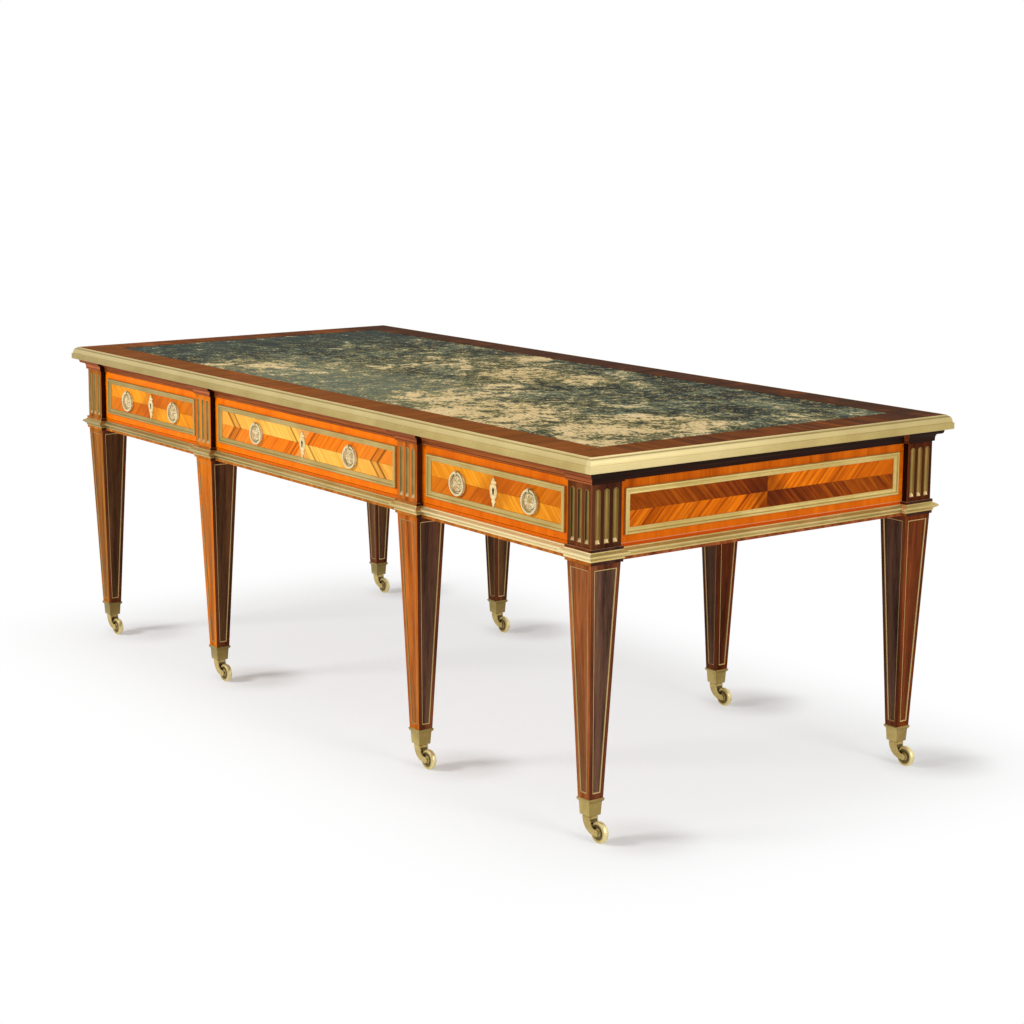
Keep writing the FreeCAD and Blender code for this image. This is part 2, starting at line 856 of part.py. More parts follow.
def bay_frame(name, centre, half):
    """The brass frame on a drawer or false drawer of the front."""
    reach = half - size("frame_side_margin")
    low = (centre - reach, size("opening_bottom") + size("frame_end_margin"))
    high = (centre + reach, size("opening_top") - size("frame_end_margin"))
    return frame_moulding(name, low, high, on_front)


frame_z = (size("opening_bottom") + size("frame_end_margin"), size("opening_top") - size("frame_end_margin"))
frame_y = size("inner_y") - size("frame_panel_margin")
right_frame = frame_moulding("right_end_frame", (-frame_y, frame_z[0]), (frame_y, frame_z[1]), on_right_end)
drawer_frames = {
    "right": bay_frame("right_frame", size("side_bay_centre"), size("side_bay_half")),
    "middle": bay_frame("middle_frame", 0, size("middle_bay_half")),
}
drawer_frames["left"] = mirrored("left_frame", drawer_frames["right"], ACROSS)
panel_frames = [right_frame, mirrored("left_end_frame", right_frame, ACROSS)]
panel_frames += [mirrored(f"{side}_back_frame", frame, ALONG) for side, frame in drawer_frames.items()]
node("panel_frames", group("panel_frame_set", panel_frames))

# The drawers


def build_front(side, centre, half, pull_offset):
    """An inset drawer front, sunk at the back for the lock and pierced for the key and the pulls."""
    slab = box(
        f"{side}_front_slab",
        (f"2 * ({half} - drawer_gap)", "front_thickness", "opening_height - 2 * drawer_gap"),
        (f"{centre} - {half} + drawer_gap", "-face_y", "opening_bottom + drawer_gap"),
    )
    lock_bed = box(
        f"{side}_lock_bed",
        ("lock_width", "lock_thickness", "lock_height"),
        (f"{centre} - lock_width / 2", "front_back_y - lock_thickness", "drawer_top - lock_height"),
    )
    key_start = (centre, "front_back_y", "pull_height + keyhole_diameter / 2")
    key_round = rod(f"{side}_key_round", "keyhole_diameter / 2", "front_thickness", key_start, OUTWARD)
    key_slot = box(
        f"{side}_key_slot",
        ("keyhole_slot", "front_thickness", "keyhole_drop + keyhole_diameter / 2"),
        (f"{centre} - keyhole_slot / 2", "-face_y", "pull_height - keyhole_drop"),
    )
    tools = [lock_bed, key_round, key_slot]
    for sign in ("-", "+"):
        hole = (f"{centre} {sign} {pull_offset}", "front_back_y", "pull_height")
        name = f"{side}_post_hole_{'left' if sign == '-' else 'right'}"
        tools.append(rod(name, "post_diameter / 2 + drawer_gap / 4", "front_thickness", hole, OUTWARD))
    return cut(f"{side}_front", slab, tools)


def build_box(side, centre, half):
    """The drawer's box: two sides, a bottom between them, and a back that stands on the bottom."""
    length = "(drawer_depth - front_thickness)"
    low_z = "opening_bottom + runner_gap"
    outer = f"({half} - drawer_gap)"
    inner = f"({outer} - side_thickness)"
    board = ("side_thickness", length, "side_height")
    sides = [
        box(f"{side}_box_left", board, (f"{centre} - {outer}", "front_back_y", low_z)),
        box(f"{side}_box_right", board, (f"{centre} + {inner}", "front_back_y", low_z)),
    ]
    bottom = box(
        f"{side}_box_bottom",
        (f"2 * {inner}", length, "bottom_thickness"),
        (f"{centre} - {inner}", "front_back_y", f"{low_z} + bottom_rise"),
    )
    back = box(
        f"{side}_box_back",
        (f"2 * {inner}", "side_thickness", "side_height - bottom_rise - bottom_thickness"),
        (
            f"{centre} - {inner}",
            f"front_back_y + {length} - side_thickness",
            f"{low_z} + bottom_rise + bottom_thickness",
        ),
    )
    return group(f"{side}_box", [*sides, bottom, back])


def plate_outline():
    """Half the section of a pull's rosette: a flat seat for the ring, a bead and a domed middle."""
    radius, tall = size("plate_diameter") / 2, size("plate_height")
    rim, bead = size("plate_rim"), size("plate_bead")
    inner = radius - size("plate_seat")
    hollow = inner - 2 * rim
    dome = hollow / 2
    shoulder = tall - rim / 2
    return [
        (0, 0),
        (radius, 0),
        (radius, rim),
        (inner, rim),
        (inner - rim, bead),
        (hollow, rim),
        ((hollow + dome) / 2, (rim + shoulder) / 2 - rim / 2),
        (dome, shoulder),
        (0, tall),
    ]


plate_turned = revolved_body("plate_turned", plate_outline())
plate_turned.Placement = FreeCAD.Placement(Vector(), Rotation(Vector(0, 0, 1), 180))
plate_post = rod("plate_post", "post_diameter / 2", "front_thickness + post_end", ("0", "0", "0"), ALONG)
eye_outer = "(eye_bore_radius + eye_wall)"
eye_start = ("-eye_width / 2", "-ring_standoff", "ring_radius")
eye_round = rod("eye_round", eye_outer, "eye_width", eye_start, ACROSS)
eye_neck = box(
    "eye_neck",
    ("eye_width", "ring_standoff", "ring_radius - plate_diameter / 4"),
    ("-eye_width / 2", "-ring_standoff", "plate_diameter / 4"),
)
eye_bore = rod(
    "eye_bore",
    "eye_bore_radius",
    "2 * eye_width",
    ("-eye_width", "-ring_standoff", "ring_radius"),
    ACROSS,
)
plate_solid = joined("plate_solid", [plate_turned, plate_post, eye_round, eye_neck])
pull_plate = cut("pull_plate", plate_solid, [eye_bore])

WIRE_SIDES = 8
ring_section = doc.addObject("Part::RegularPolygon", "ring_section")
ring_section.Polygon = WIRE_SIDES
bind(ring_section, Circumradius="ring_wire / 2")
put(ring_section, "ring_radius")
pull_ring = doc.addObject("Part::Revolution", "pull_ring")
pull_ring.Source = ring_section
pull_ring.Axis = Vector(0, 1, 0)
pull_ring.Base = Vector()
pull_ring.Angle = 360
pull_ring.Solid = True


def escutcheon_outline():
    """A tall cartouche: a leaf at the top, scrolls at the shoulders and a hanging leaf below."""
    w, tall = size("escutcheon_width") / 2, size("escutcheon_height") / 2
    right = [
        ((w * 0.34, tall * 0.89), (w * 0.4, tall * 0.75)),
        ((w * 0.82, tall * 0.73), (w * 0.9, tall * 0.58)),
        ((w * 0.97, tall * 0.49), (w * 0.78, tall * 0.42)),
        ((w, tall * 0.02), (w * 0.8, -tall * 0.37)),
        ((w * 0.84, -tall * 0.52), (w * 0.48, -tall * 0.58)),
        ((w * 0.4, -tall * 0.8), (0, -tall)),
    ]
    corners = [(0, tall)] + [end for _, end in right]
    left = [((-via[0], via[1]), (-start[0], start[1])) for (via, _), start in zip(right, corners)]
    return right + left[::-1]


escutcheon_plate = new_body("escutcheon_plate")
escutcheon_sketch = sketch_on(escutcheon_plate, "XZ_Plane", "escutcheon_outline")
draw(escutcheon_sketch, escutcheon_outline())
add_pad(escutcheon_plate, escutcheon_sketch, "escutcheon_thickness")
key_round = rod(
    "key_round",
    "keyhole_diameter / 2",
    "2 * escutcheon_thickness",
    ("0", "0", "keyhole_diameter / 2"),
    OUTWARD,
)
key_slot = box(
    "key_slot",
    ("keyhole_slot", "2 * escutcheon_thickness", "keyhole_drop + keyhole_diameter / 2"),
    ("-keyhole_slot / 2", "-2 * escutcheon_thickness", "-keyhole_drop"),
)
escutcheon = cut("escutcheon", escutcheon_plate, [key_round, key_slot])


def build_lock(side, centre):
    """A lock let into the back of the drawer front, and the bolt that slides up out of it."""
    case = box(
        f"{side}_lock_case",
        ("lock_width", "lock_thickness", "lock_height"),
        (f"{centre} - lock_width / 2", "front_back_y - lock_thickness", "drawer_top - lock_height"),
    )
    slot = box(
        f"{side}_bolt_slot",
        ("bolt_width + 2 * bolt_gap", "bolt_thickness + 2 * bolt_gap", "bolt_height + bolt_gap"),
        (
            f"{centre} - bolt_width / 2 - bolt_gap",
            "front_back_y - (lock_thickness + bolt_thickness) / 2 - bolt_gap",
            "drawer_top - bolt_height - bolt_gap",
        ),
    )
    key_depth = "lock_thickness / 2"
    key_start = (centre, f"front_back_y - {key_depth}", "pull_height + keyhole_diameter / 2")
    key_way = rod(f"{side}_key_way", "keyhole_diameter / 2", key_depth, key_start, OUTWARD)
    key_drop = box(
        f"{side}_key_drop",
        ("keyhole_slot", key_depth, "keyhole_drop + keyhole_diameter / 2"),
        (f"{centre} - keyhole_slot / 2", "front_back_y - lock_thickness", "pull_height - keyhole_drop"),
    )
    bolt = box(
        f"{side}_bolt",
        ("bolt_width", "bolt_thickness", "bolt_height"),
        (
            f"{centre} - bolt_width / 2",
            "front_back_y - (lock_thickness + bolt_thickness) / 2",
            "drawer_top - bolt_height",
        ),
    )
    return cut(f"{side}_lock", case, [slot, key_way, key_drop]), bolt


for side, (centre, half, pull_offset) in BAYS.items():
    name = f"{side}_drawer"
    node(f"{name}_front", build_front(side, centre, half, pull_offset))
    node(f"{name}_box", build_box(side, centre, half))
    node(f"{name}_frame", drawer_frames[side])
    pulls = {"left": f"{centre} - {pull_offset}", "right": f"{centre} + {pull_offset}"}
    plates = []
    for hand, x in pulls.items():
        plates.append(copied(f"{name}_plate_{hand}", pull_plate, x, "-face_y", "pull_height"))
        ring = copied(f"{name}_hung_ring_{hand}", pull_ring, x, "-face_y - ring_standoff", "pull_height")
        node(f"{name}_ring_{hand}", ring)
    node(f"{name}_pull_plates", group(f"{name}_plates", plates))
    node(f"{name}_escutcheon", copied(f"{name}_key_plate", escutcheon, centre, "-face_y", "pull_height"))
    lock, bolt = build_lock(side, centre)
    node(f"{name}_lock", lock)
    node(f"{name}_bolt", bolt)

# The casters


def wheel_outline():
    """Half the section of a wheel: a hub, dished sides and a rim with a rounded tread."""
    radius, half = size("wheel_radius"), size("wheel_width") / 2
    bore = size("axle_diameter") / 2 + size("axle_gap")
    hub = size("hub_diameter") / 2
    web = (size("wheel_web_diameter") / 2, -size("wheel_web_width") / 2)
    rim = (size("wheel_rim_diameter") / 2, -size("wheel_rim_width") / 2)
    one_side = [(bore, -half), (hub, -half), web, rim, (radius, -size("wheel_tread") / 2)]
    return one_side + [(r, -y) for r, y in reversed(one_side)]


wheel = revolved_body("wheel", wheel_outline())


def horn_outline():
    """One side of the fork: a horn that swings back from the collar to a round boss at the axle."""
    trail, axle_z = size("caster_trail"), size("wheel_radius")
    top, boss = size("collar_bottom"), size("fork_boss_diameter") / 2
    half = size("collar_diameter") / 2
    lean_x, lean_z = boss / 2, boss * math.sqrt(3) / 2
    heel = (trail - lean_x, axle_z - lean_z)
    throat = (trail - lean_x, axle_z + lean_z)
    belly = (-half / 3, axle_z + boss)
    neck = (half + boss / 2, (throat[1] + top - boss) / 2)
    return [(-half, top), (belly, heel), ((trail + boss, axle_z), throat), (neck, (half, top))]


horn = new_body("horn")
horn_sketch = sketch_on(horn, "XZ_Plane", "horn_outline")
draw(horn_sketch, horn_outline())
add_pad(horn, horn_sketch, "2 * fork_half_width", midplane=True)
wheel_slot = rod(
    "wheel_slot",
    "wheel_radius + wheel_clearance",
    "wheel_width + 2 * wheel_gap",
    ("caster_trail", "-wheel_width / 2 - wheel_gap", "wheel_radius"),
    ALONG,
)
slotted_horn = cut("slotted_horn", horn, [wheel_slot])
axle = rod(
    "axle",
    "axle_diameter / 2",
    "2 * fork_half_width",
    ("caster_trail", "-fork_half_width", "wheel_radius"),
    ALONG,
)
collar = rod("collar", "collar_diameter / 2", "collar_height", ("0", "0", "collar_bottom"))
stem = rod("stem", "stem_diameter / 2", "stem_length", ("0", "0", "collar_top"))
fork = joined("fork", [slotted_horn, axle, collar, stem])

LEG_ROW = {
    "left": "-corner_leg_x",
    "middle_left": "-middle_leg_offset",
    "middle_right": "middle_leg_offset",
    "right": "corner_leg_x",
}
for row, y in {"front": "-leg_y", "back": "leg_y"}.items():
    for place, x in LEG_ROW.items():
        name = f"caster_{row}_{place}"
        node(f"{name}_fork", copied(f"{name}_horn", fork, x, y, "0"))
        node(f"{name}_wheel", copied(f"{name}_roller", wheel, f"{x} + caster_trail", y, "wheel_radius"))

doc.recompute()

# Check every piece, then write one file for each sub-part

for thing in doc.Objects:
    if "Invalid" in thing.State or "Error" in thing.State:
        raise RuntimeError(f"{thing.Label} failed: {thing.State}")
for thing in NODES:
    if thing.Shape.isNull() or not thing.Shape.isValid():
        raise RuntimeError(f"{thing.Label} has no valid shape")

os.makedirs("parts", exist_ok=True)
for thing in NODES:
    thing.Shape.exportStep(f"parts/{thing.Label}.step")
print(len(NODES), "sub-parts,", sum(len(thing.Shape.Solids) for thing in NODES), "solids")
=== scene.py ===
# %% [markdown]
# # A bureau plat
# A bureau plat is a flat writing table. This one stands on eight legs with casters. It has three
# drawers, a worn leather top and brass mouldings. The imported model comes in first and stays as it
# is: it is the frame, in metres, from which every piece below is set out.

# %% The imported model
import json
import math

import bmesh
import bpy
from mathutils import Matrix, Vector


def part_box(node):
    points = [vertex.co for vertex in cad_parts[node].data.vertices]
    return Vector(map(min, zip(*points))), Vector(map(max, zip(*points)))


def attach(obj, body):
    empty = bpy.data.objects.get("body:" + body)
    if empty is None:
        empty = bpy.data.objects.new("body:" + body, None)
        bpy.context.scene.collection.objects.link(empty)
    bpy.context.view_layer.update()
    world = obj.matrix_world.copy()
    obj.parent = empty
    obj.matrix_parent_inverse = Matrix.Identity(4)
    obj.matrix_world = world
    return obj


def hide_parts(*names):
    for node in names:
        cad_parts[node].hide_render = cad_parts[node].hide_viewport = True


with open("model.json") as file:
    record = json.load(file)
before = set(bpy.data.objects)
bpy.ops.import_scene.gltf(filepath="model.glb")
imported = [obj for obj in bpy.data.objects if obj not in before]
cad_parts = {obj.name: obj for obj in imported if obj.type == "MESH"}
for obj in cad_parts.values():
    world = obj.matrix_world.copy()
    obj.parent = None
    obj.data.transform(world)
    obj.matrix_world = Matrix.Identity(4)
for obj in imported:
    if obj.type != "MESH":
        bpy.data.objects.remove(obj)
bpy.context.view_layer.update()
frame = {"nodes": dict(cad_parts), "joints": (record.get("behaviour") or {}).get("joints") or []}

nodes = frame["nodes"]
scene = bpy.context.scene

# %% [markdown]
# ## The camera
# The lens, the eye point and the turn were worked out from the lines of the desk itself. The
# middle of the lens falls a little left of and above the middle of the picture, so the camera
# carries a small shift instead of being turned away.

# %% Camera
IMAGE_SIDE = 1024
FOCAL_PIXELS = 2197.2
LENS_CENTRE = (466.7, 458.8)
EYE = Vector((4.2514, -3.0927, 1.4664))
YAW, PITCH, ROLL = (math.radians(angle) for angle in (53.905, -9.571, 0.26))

lens = bpy.data.cameras.new("camera")
lens.sensor_width = 36
lens.lens = FOCAL_PIXELS / IMAGE_SIDE * lens.sensor_width
lens.shift_x = 0.5 - LENS_CENTRE[0] / IMAGE_SIDE
lens.shift_y = LENS_CENTRE[1] / IMAGE_SIDE - 0.5
camera = bpy.data.objects.new("camera", lens)
turn = Matrix.Rotation(YAW, 4, "Z") @ Matrix.Rotation(math.pi / 2 + PITCH, 4, "X")
camera.matrix_world = Matrix.Translation(EYE) @ turn @ Matrix.Rotation(ROLL, 4, "Z")
scene.collection.objects.link(camera)
scene.camera = camera
print("lens:", round(lens.lens, 2), "mm")

# %% [markdown]
# ## Writing shaders as sums
# A finish is a long formula: noise times a tone, plus a mask. Wiring that up node by node hides
# the formula, so one small class wraps a socket and gives it arithmetic. Every other node comes
# from its `node` method, which sets the node's settings first and then its sockets.


# %% A socket with arithmetic
class Wire:
    """One output of a node. Each operator adds a Math node to the same tree."""

    def __init__(self, socket):
        self.socket = socket

    def __getitem__(self, output):
        """Another output of the same node."""
        return Wire(self.socket.node.outputs[output])

    def node(self, kind, settings=None, sockets=None, output=0):
        """Any node: its settings are set first, then the values or links of its sockets."""
        tree = self.socket.id_data
        made = tree.nodes.new(kind)
        for name, value in (settings or {}).items():
            if name == "stops":
                fill_ramp(made.color_ramp, value)
            else:
                setattr(made, name, value)
        for name, value in (sockets or {}).items():
            if isinstance(value, Wire):
                tree.links.new(value.socket, made.inputs[name])
            else:
                made.inputs[name].default_value = value
        return Wire(made.outputs[output])

    def math(self, operation, *values):
        return self.node("ShaderNodeMath", {"operation": operation}, dict(enumerate(values)))

    def __add__(self, other):
        return self.math("ADD", self, other)

    __radd__ = __add__

    def __sub__(self, other):
        return self.math("SUBTRACT", self, other)

    def __rsub__(self, other):
        return self.math("SUBTRACT", other, self)

    def __mul__(self, other):
        return self.math("MULTIPLY", self, other)

    __rmul__ = __mul__

    def __truediv__(self, other):
        return self.math("DIVIDE", self, other)

    def __abs__(self):
        return self.math("ABSOLUTE", self)

    def larger(self, other):
        return self.math("MAXIMUM", self, other)

    def smaller(self, other):
        return self.math("MINIMUM", self, other)

    def root(self):
        return self.math("SQRT", self)

    def sign(self):
        return self.math("SIGN", self)


def fill_ramp(ramp, stops):
    """Set a colour ramp's stops, each a position and an sRGB colour."""
    while len(ramp.elements) < len(stops):
        ramp.elements.new(1.0)
    for element, (position, colour) in zip(ramp.elements, stops):
        element.position = position
        element.color = srgb(colour)


def srgb(colour):
    """An sRGB colour of three numbers up to 255 as the linear colour that a shader takes."""
    parts = [part / 255 for part in colour]
    linear = [part / 12.92 if part <= 0.04045 else ((part + 0.055) / 1.055) ** 2.4 for part in parts]
    return (*linear, 1.0)


# %% [markdown]
# A few more words for shaders: splitting and joining coordinates, a distance, stretched noise, a
# soft step, a mix of two colours, several washes over one colour, and a grey turned into tones.


# %% Words for shaders
def split(place):
    parts = place.node("ShaderNodeSeparateXYZ", sockets={0: place})
    return parts["X"], parts["Y"], parts["Z"]


def joined(x, y, z):
    wire = next(part for part in (x, y, z) if isinstance(part, Wire))
    return wire.node("ShaderNodeCombineXYZ", sockets={0: x, 1: y, 2: z})


def distance(one, two):
    """How long a step is that goes one along one way and two square to it."""
    return (one * one + two * two).root()


def noise(place, scale, detail=3.0, rough=0.55, bend=0.0):
    sockets = {"Vector": place, "Scale": scale, "Detail": detail, "Roughness": rough, "Distortion": bend}
    return place.node("ShaderNodeTexNoise", sockets=sockets)


def step(value, low, high):
    """A soft step from 0 below low to 1 above high."""
    settings = {"interpolation_type": "SMOOTHSTEP"}
    return value.node("ShaderNodeMapRange", settings, {"Value": value, "From Min": low, "From Max": high})


def mix(share, one, two):
    """A colour that goes from one to two as share goes from 0 to 1; each is sRGB or a wire."""
    wire = next(part for part in (share, one, two) if isinstance(part, Wire))
    one, two = (part if isinstance(part, Wire) else srgb(part) for part in (one, two))
    return wire.node("ShaderNodeMix", {"data_type": "RGBA"}, {0: share, 6: one, 7: two}, output=2)


def washed(colour, *washes):
    """A colour under several washes, each the share and the tone that it goes to."""
    for share, tone in washes:
        colour = mix(share, colour, tone)
    return colour


def tones(value, *stops):
    return value.node("ShaderNodeValToRGB", {"stops": stops}, {0: value})


# %% A finish
class Finish:
    """A material with one Principled shader. Constants go straight to the shader's sockets."""

    def __init__(self, name, **constants):
        self.material = bpy.data.materials.new(name)
        self.material.use_nodes = True
        tree = self.material.node_tree
        self.shader = tree.nodes["Principled BSDF"]
        for socket, value in constants.items():
            self.shader.inputs[socket.replace("_", " ")].default_value = value
        self.place = Wire(tree.nodes.new("ShaderNodeTexCoord").outputs["Object"])

    def feed(self, socket, wire):
        self.material.node_tree.links.new(wire.socket, self.shader.inputs[socket])

    def wash(self, *washes):
        """Lay washes over the colour and give it to the shader."""
        self.colour = washed(self.colour, *washes)
        self.feed("Base Color", self.colour)
        return self.material

    def carried(self, attribute):
        """A number that the mesh carries at every point, or 0 where it carries none."""
        return self.place.node("ShaderNodeAttribute", {"attribute_name": attribute}, output="Fac")

    def relief(self, height, depth):
        """Bump from a height of 0 to 1 that stands for depth in metres."""
        bump = height.node("ShaderNodeBump", sockets={"Height": height, "Distance": depth, "Strength": 1.0})
        self.feed("Normal", bump)


# %% [markdown]
# ## Floor, background and light
# The desk stands on a white sweep in a room whose other side is dim. The camera sees a plain white
# world. Metal mirrors that white too, apart from the dim side of the room behind the camera, and
# that is what gives polished brass its dark halves. The light that falls on the desk comes from a
# dimmer world and three softboxes: a large one at the front left, a smaller one at the right end
# and one overhead. The floor is pale and takes the shadow. For the camera it is mixed with white,
# more so away from the desk, which keeps the shadow light and lets the floor fade out. Beside
# each caster it is mixed less, so that the short shadows there stay.

# %% World
scene.view_settings.view_transform = "Standard"
WORLD_LIGHT = 0.42
DARK_SIDE, DARK_DEPTH, DARK_FROM, DARK_FULL = (0.8, -0.58, 0.12), 0.72, 0.3, 0.85
WHITE = (1, 1, 1, 1)

world = bpy.data.worlds.new("sweep")
scene.world = world
world.use_nodes = True
background = world.node_tree.nodes["Background"]
background.inputs["Color"].default_value = WHITE
sight = Wire(world.node_tree.nodes.new("ShaderNodeTexCoord").outputs["Generated"])
rays = sight.node("ShaderNodeLightPath", output="Is Camera Ray")
facing = {0: sight, 1: DARK_SIDE}
turned = sight.node("ShaderNodeVectorMath", {"operation": "DOT_PRODUCT"}, facing, output="Value")
mirrored = 1 - DARK_DEPTH * step(turned, DARK_FROM, DARK_FULL)
clear = rays.larger(rays["Is Transmission Ray"])
level = clear * (1 - WORLD_LIGHT) + rays["Is Glossy Ray"] * (mirrored - WORLD_LIGHT) + WORLD_LIGHT
world.node_tree.links.new(level.socket, background.inputs["Strength"])
print("world light:", WORLD_LIGHT, "darkest mirrored:", round(1 - DARK_DEPTH, 2))

# %% Floor
FLOOR_SIDE, FLOOR_GREY = 60.0, (0.86, 0.86, 0.86, 1)
UNDER_DESK, WHITE_UNDER, FADE = (0.98, 0.42), 0.64, (0.02, 0.5)
SHADOW_SHIFT, SHADOW_REACH, SHADOW_DEPTH = (0.05, 0.08), (0.03, 0.16), 0.6

swivels = {joint["child"]: Vector(joint["pos_m"]) for joint in frame["joints"] if "swivel" in joint["name"]}
corner_axis = swivels["caster_front_right_fork"]
middle_axis = swivels["caster_front_middle_right_fork"]


def off_legs(x):
    """How far x lies from the nearest axis of a leg."""
    return abs(abs(x) - corner_axis.x).smaller(abs(abs(x) - middle_axis.x))


paper = Finish("sweep_paper", Base_Color=FLOOR_GREY, Roughness=0.9, Specular_IOR_Level=0.0)
rays = paper.place.node("ShaderNodeLightPath", output="Is Camera Ray")
direct = rays.larger(rays["Is Glossy Ray"])
x, y, _ = split(paper.place)
beyond = [(abs(part) - reach).larger(0.0) for part, reach in zip((x, y), UNDER_DESK)]
off_y = abs(y - SHADOW_SHIFT[1]) + corner_axis.y
contact = 1 - step(distance(off_legs(x - SHADOW_SHIFT[0]), off_y), *SHADOW_REACH)
faded = WHITE_UNDER + (1 - WHITE_UNDER) * step(distance(*beyond), *FADE)
whitening = faded * (1 - contact * SHADOW_DEPTH)
glow = rays.node("ShaderNodeEmission", sockets={"Color": WHITE, "Strength": 1.0})
bare = Wire(paper.shader.outputs["BSDF"])
whitened = direct.node("ShaderNodeMixShader", sockets={0: direct * whitening, 1: bare, 2: glow})
paper_tree = paper.material.node_tree
paper_tree.links.new(whitened.socket, paper_tree.nodes["Material Output"].inputs["Surface"])

half = FLOOR_SIDE / 2
floor_mesh = bpy.data.meshes.new("sweep_floor")
floor_corners = [(-half, -half, 0), (half, -half, 0), (half, half, 0), (-half, half, 0)]
floor_mesh.from_pydata(floor_corners, [], [(0, 1, 2, 3)])
floor_mesh.materials.append(paper.material)
floor = bpy.data.objects.new("sweep_floor", floor_mesh)
scene.collection.objects.link(floor)
print("floor:", FLOOR_SIDE, "m square")

# %% Softboxes
AIM = Vector((0, 0, 0.6))


def softbox(name, place, wide, tall, level):
    """A lamp aimed at the desk; level is how bright it makes a white card that faces it."""
    data = bpy.data.lights.new(name, "AREA")
    data.shape = "RECTANGLE"
    data.size, data.size_y = wide, tall
    aim = AIM - Vector(place)
    data.energy = level * math.pi**2 * aim.length_squared
    lamp = bpy.data.objects.new(name, data)
    lamp.matrix_world = Matrix.Translation(place) @ aim.to_track_quat("-Z", "Y").to_matrix().to_4x4()
    scene.collection.objects.link(lamp)
    return lamp


key = softbox("front_left_softbox", (-2.0, -5.3, 3.2), 1.6, 1.2, 0.62)
key.visible_glossy = False
softbox("right_end_softbox", (6.0, 0.4, 2.6), 2.0, 1.6, 0.34)
softbox("overhead_softbox", (-0.6, -0.4, 4.6), 3.2, 2.4, 0.32)
print("lamps:", [lamp.name for lamp in bpy.data.lights])

# %% [markdown]
# ## Brass and gilt
# The mouldings are cast and filed brass, lacquered long ago and gone to a pale olive gold. A
# mirror-like metal would look new, so the finish mixes a satin metal with cloudy tarnish, fine
# file marks and a little dirt. Old wax stays in the hollows and cloths rub the arrises bright:
# each mesh below carries how hollow or how sharp it is at every point, for the finish to read.
# The pulls and key plates are paler, because they were gilded.


# %% Brass
FILE_MARKS = 0.00012


def metal(name, pale, deep, tarnish, cloud=9.0, dirt=0.7, left_darkening=0.0):
    """Old brass; the last argument is how much darker it gets towards the left end of the desk."""
    finish = Finish(name, Metallic=0.72, Specular_IOR_Level=0.3)
    clouds = noise(finish.place, cloud, detail=4)
    grime = noise(finish.place, cloud * 7, detail=5, rough=0.65)
    specks = step(noise(finish.place, 420, detail=1), 0.68, 0.76)
    scratches = noise(finish.place, 900, detail=2)
    hollow, arris = finish.carried("hollow"), finish.carried("arris")
    x, _, _ = split(finish.place)
    finish.colour = mix(step(clouds * 0.75 + grime * 0.25, 0.36, 0.64), deep, pale)
    finish.wash(
        (step(grime, 0.58, 0.8) * 0.45, tarnish),
        (specks * 0.3, tarnish),
        (step(hollow + grime * 0.3, 0.25, 0.75) * dirt, tarnish),
        # Darker towards the left end of the desk, by the last argument.
        (step(-1 * x, -0.9, 1.1) * left_darkening, (122, 106, 60)),
        (step(arris, 0.15, 0.6) * 0.5, [min(255, part + 22) for part in pale]),
    )
    finish.feed("Roughness", 0.34 + grime * 0.2 + hollow * 0.2 - arris * 0.06)
    finish.relief(scratches * 0.35 + grime * 0.65, FILE_MARKS)
    return finish


# %% [markdown]
# Each kind of mounting gets its own washes over the common brass, told apart by where a point lies
# and which way it faces. Most of them are painted light and shade: painted shade in the quirk of
# the top edge, between the cheeks of the horns, on the webs of the wheels and on faces that look to
# the right end, and painted highlights along the right-hand bay and on the treads. One tone for all
# would be shorter, but looks newly cast.


# %% Brass for each place
def edge_metal(name):
    """Brass for the edge of the top: painted shade in the quirk under the bead, rubbed brass with a painted
    highlight just below it, and painted shade and highlight along the right end.
    """
    finish = metal(name, (204, 182, 116), (186, 162, 96), (118, 94, 44), left_darkening=0.35)
    low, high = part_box("top_edge_moulding")
    x, y, z = split(finish.place)
    # Painted shade: a dark line in the quirk under the bead.
    quirk = step(z, high.z - 0.0056, high.z - 0.0044) * (1 - step(z, high.z - 0.0034, high.z - 0.0024))
    # Rubbed brass and a painted highlight on the broad round below the quirk.
    rubbed = step(z, low.z + 0.012, low.z + 0.018) * (1 - quirk)
    right_end = step(x, high.x - 0.02, high.x - 0.01)
    return finish.wash(
        (rubbed * 0.4, (232, 214, 158)),
        # Along the right end, painted shade towards the back and a painted highlight towards the front
        # corner.
        (right_end * step(y, -0.3, 0.45) * 0.3, (140, 120, 66)),
        (right_end * (1 - step(y, -0.45, 0.25)) * 0.5, (246, 228, 172)),
        (quirk * 0.6, (118, 96, 50)),
    )


def base_metal(name):
    """Brass for the base of the apron, with a painted highlight along the right-hand bay and painted shade on
    the faces that look to the right end.
    """
    finish = metal(name, (224, 200, 132), (202, 176, 104), (136, 110, 46), dirt=0.5, left_darkening=0.5)
    x, _, _ = split(finish.place)
    facing_x, facing_y, _ = split(finish.place["Normal"])
    # A painted highlight on faces that look to the front or back at the right-hand bay; painted shade on
    # faces that look to the right end.
    near = step(abs(facing_y) - abs(facing_x), -0.1, 0.1) * step(x, 0.4, 0.6)
    at_end = step(facing_x, 0.3, 0.6)
    return finish.wash((near * 0.8, (255, 236, 182)), (at_end * 0.2, (112, 90, 40)))


def foot_metal(name):
    """Brass for the square shoes of the legs, with painted shade on the faces that look to the right."""
    finish = metal(name, (198, 176, 108), (174, 150, 86), (104, 82, 36), cloud=30.0, left_darkening=0.6)
    facing_x, _, _ = split(finish.place["Normal"])
    # Painted shade on the faces that look to the right.
    return finish.wash((step(facing_x, 0.3, 0.7) * 0.45, (112, 82, 28)))


def heights(node):
    """The lowest and the highest point of a CAD node."""
    return [corner.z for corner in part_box(node)]


def centre_of(node):
    low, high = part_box(node)
    return (low + high) / 2


CASTER_TONES = ((210, 188, 122), (184, 160, 96), (104, 82, 36))
axle = centre_of("caster_front_right_wheel")
wheel_radius = axle.z - heights("caster_front_right_wheel")[0]


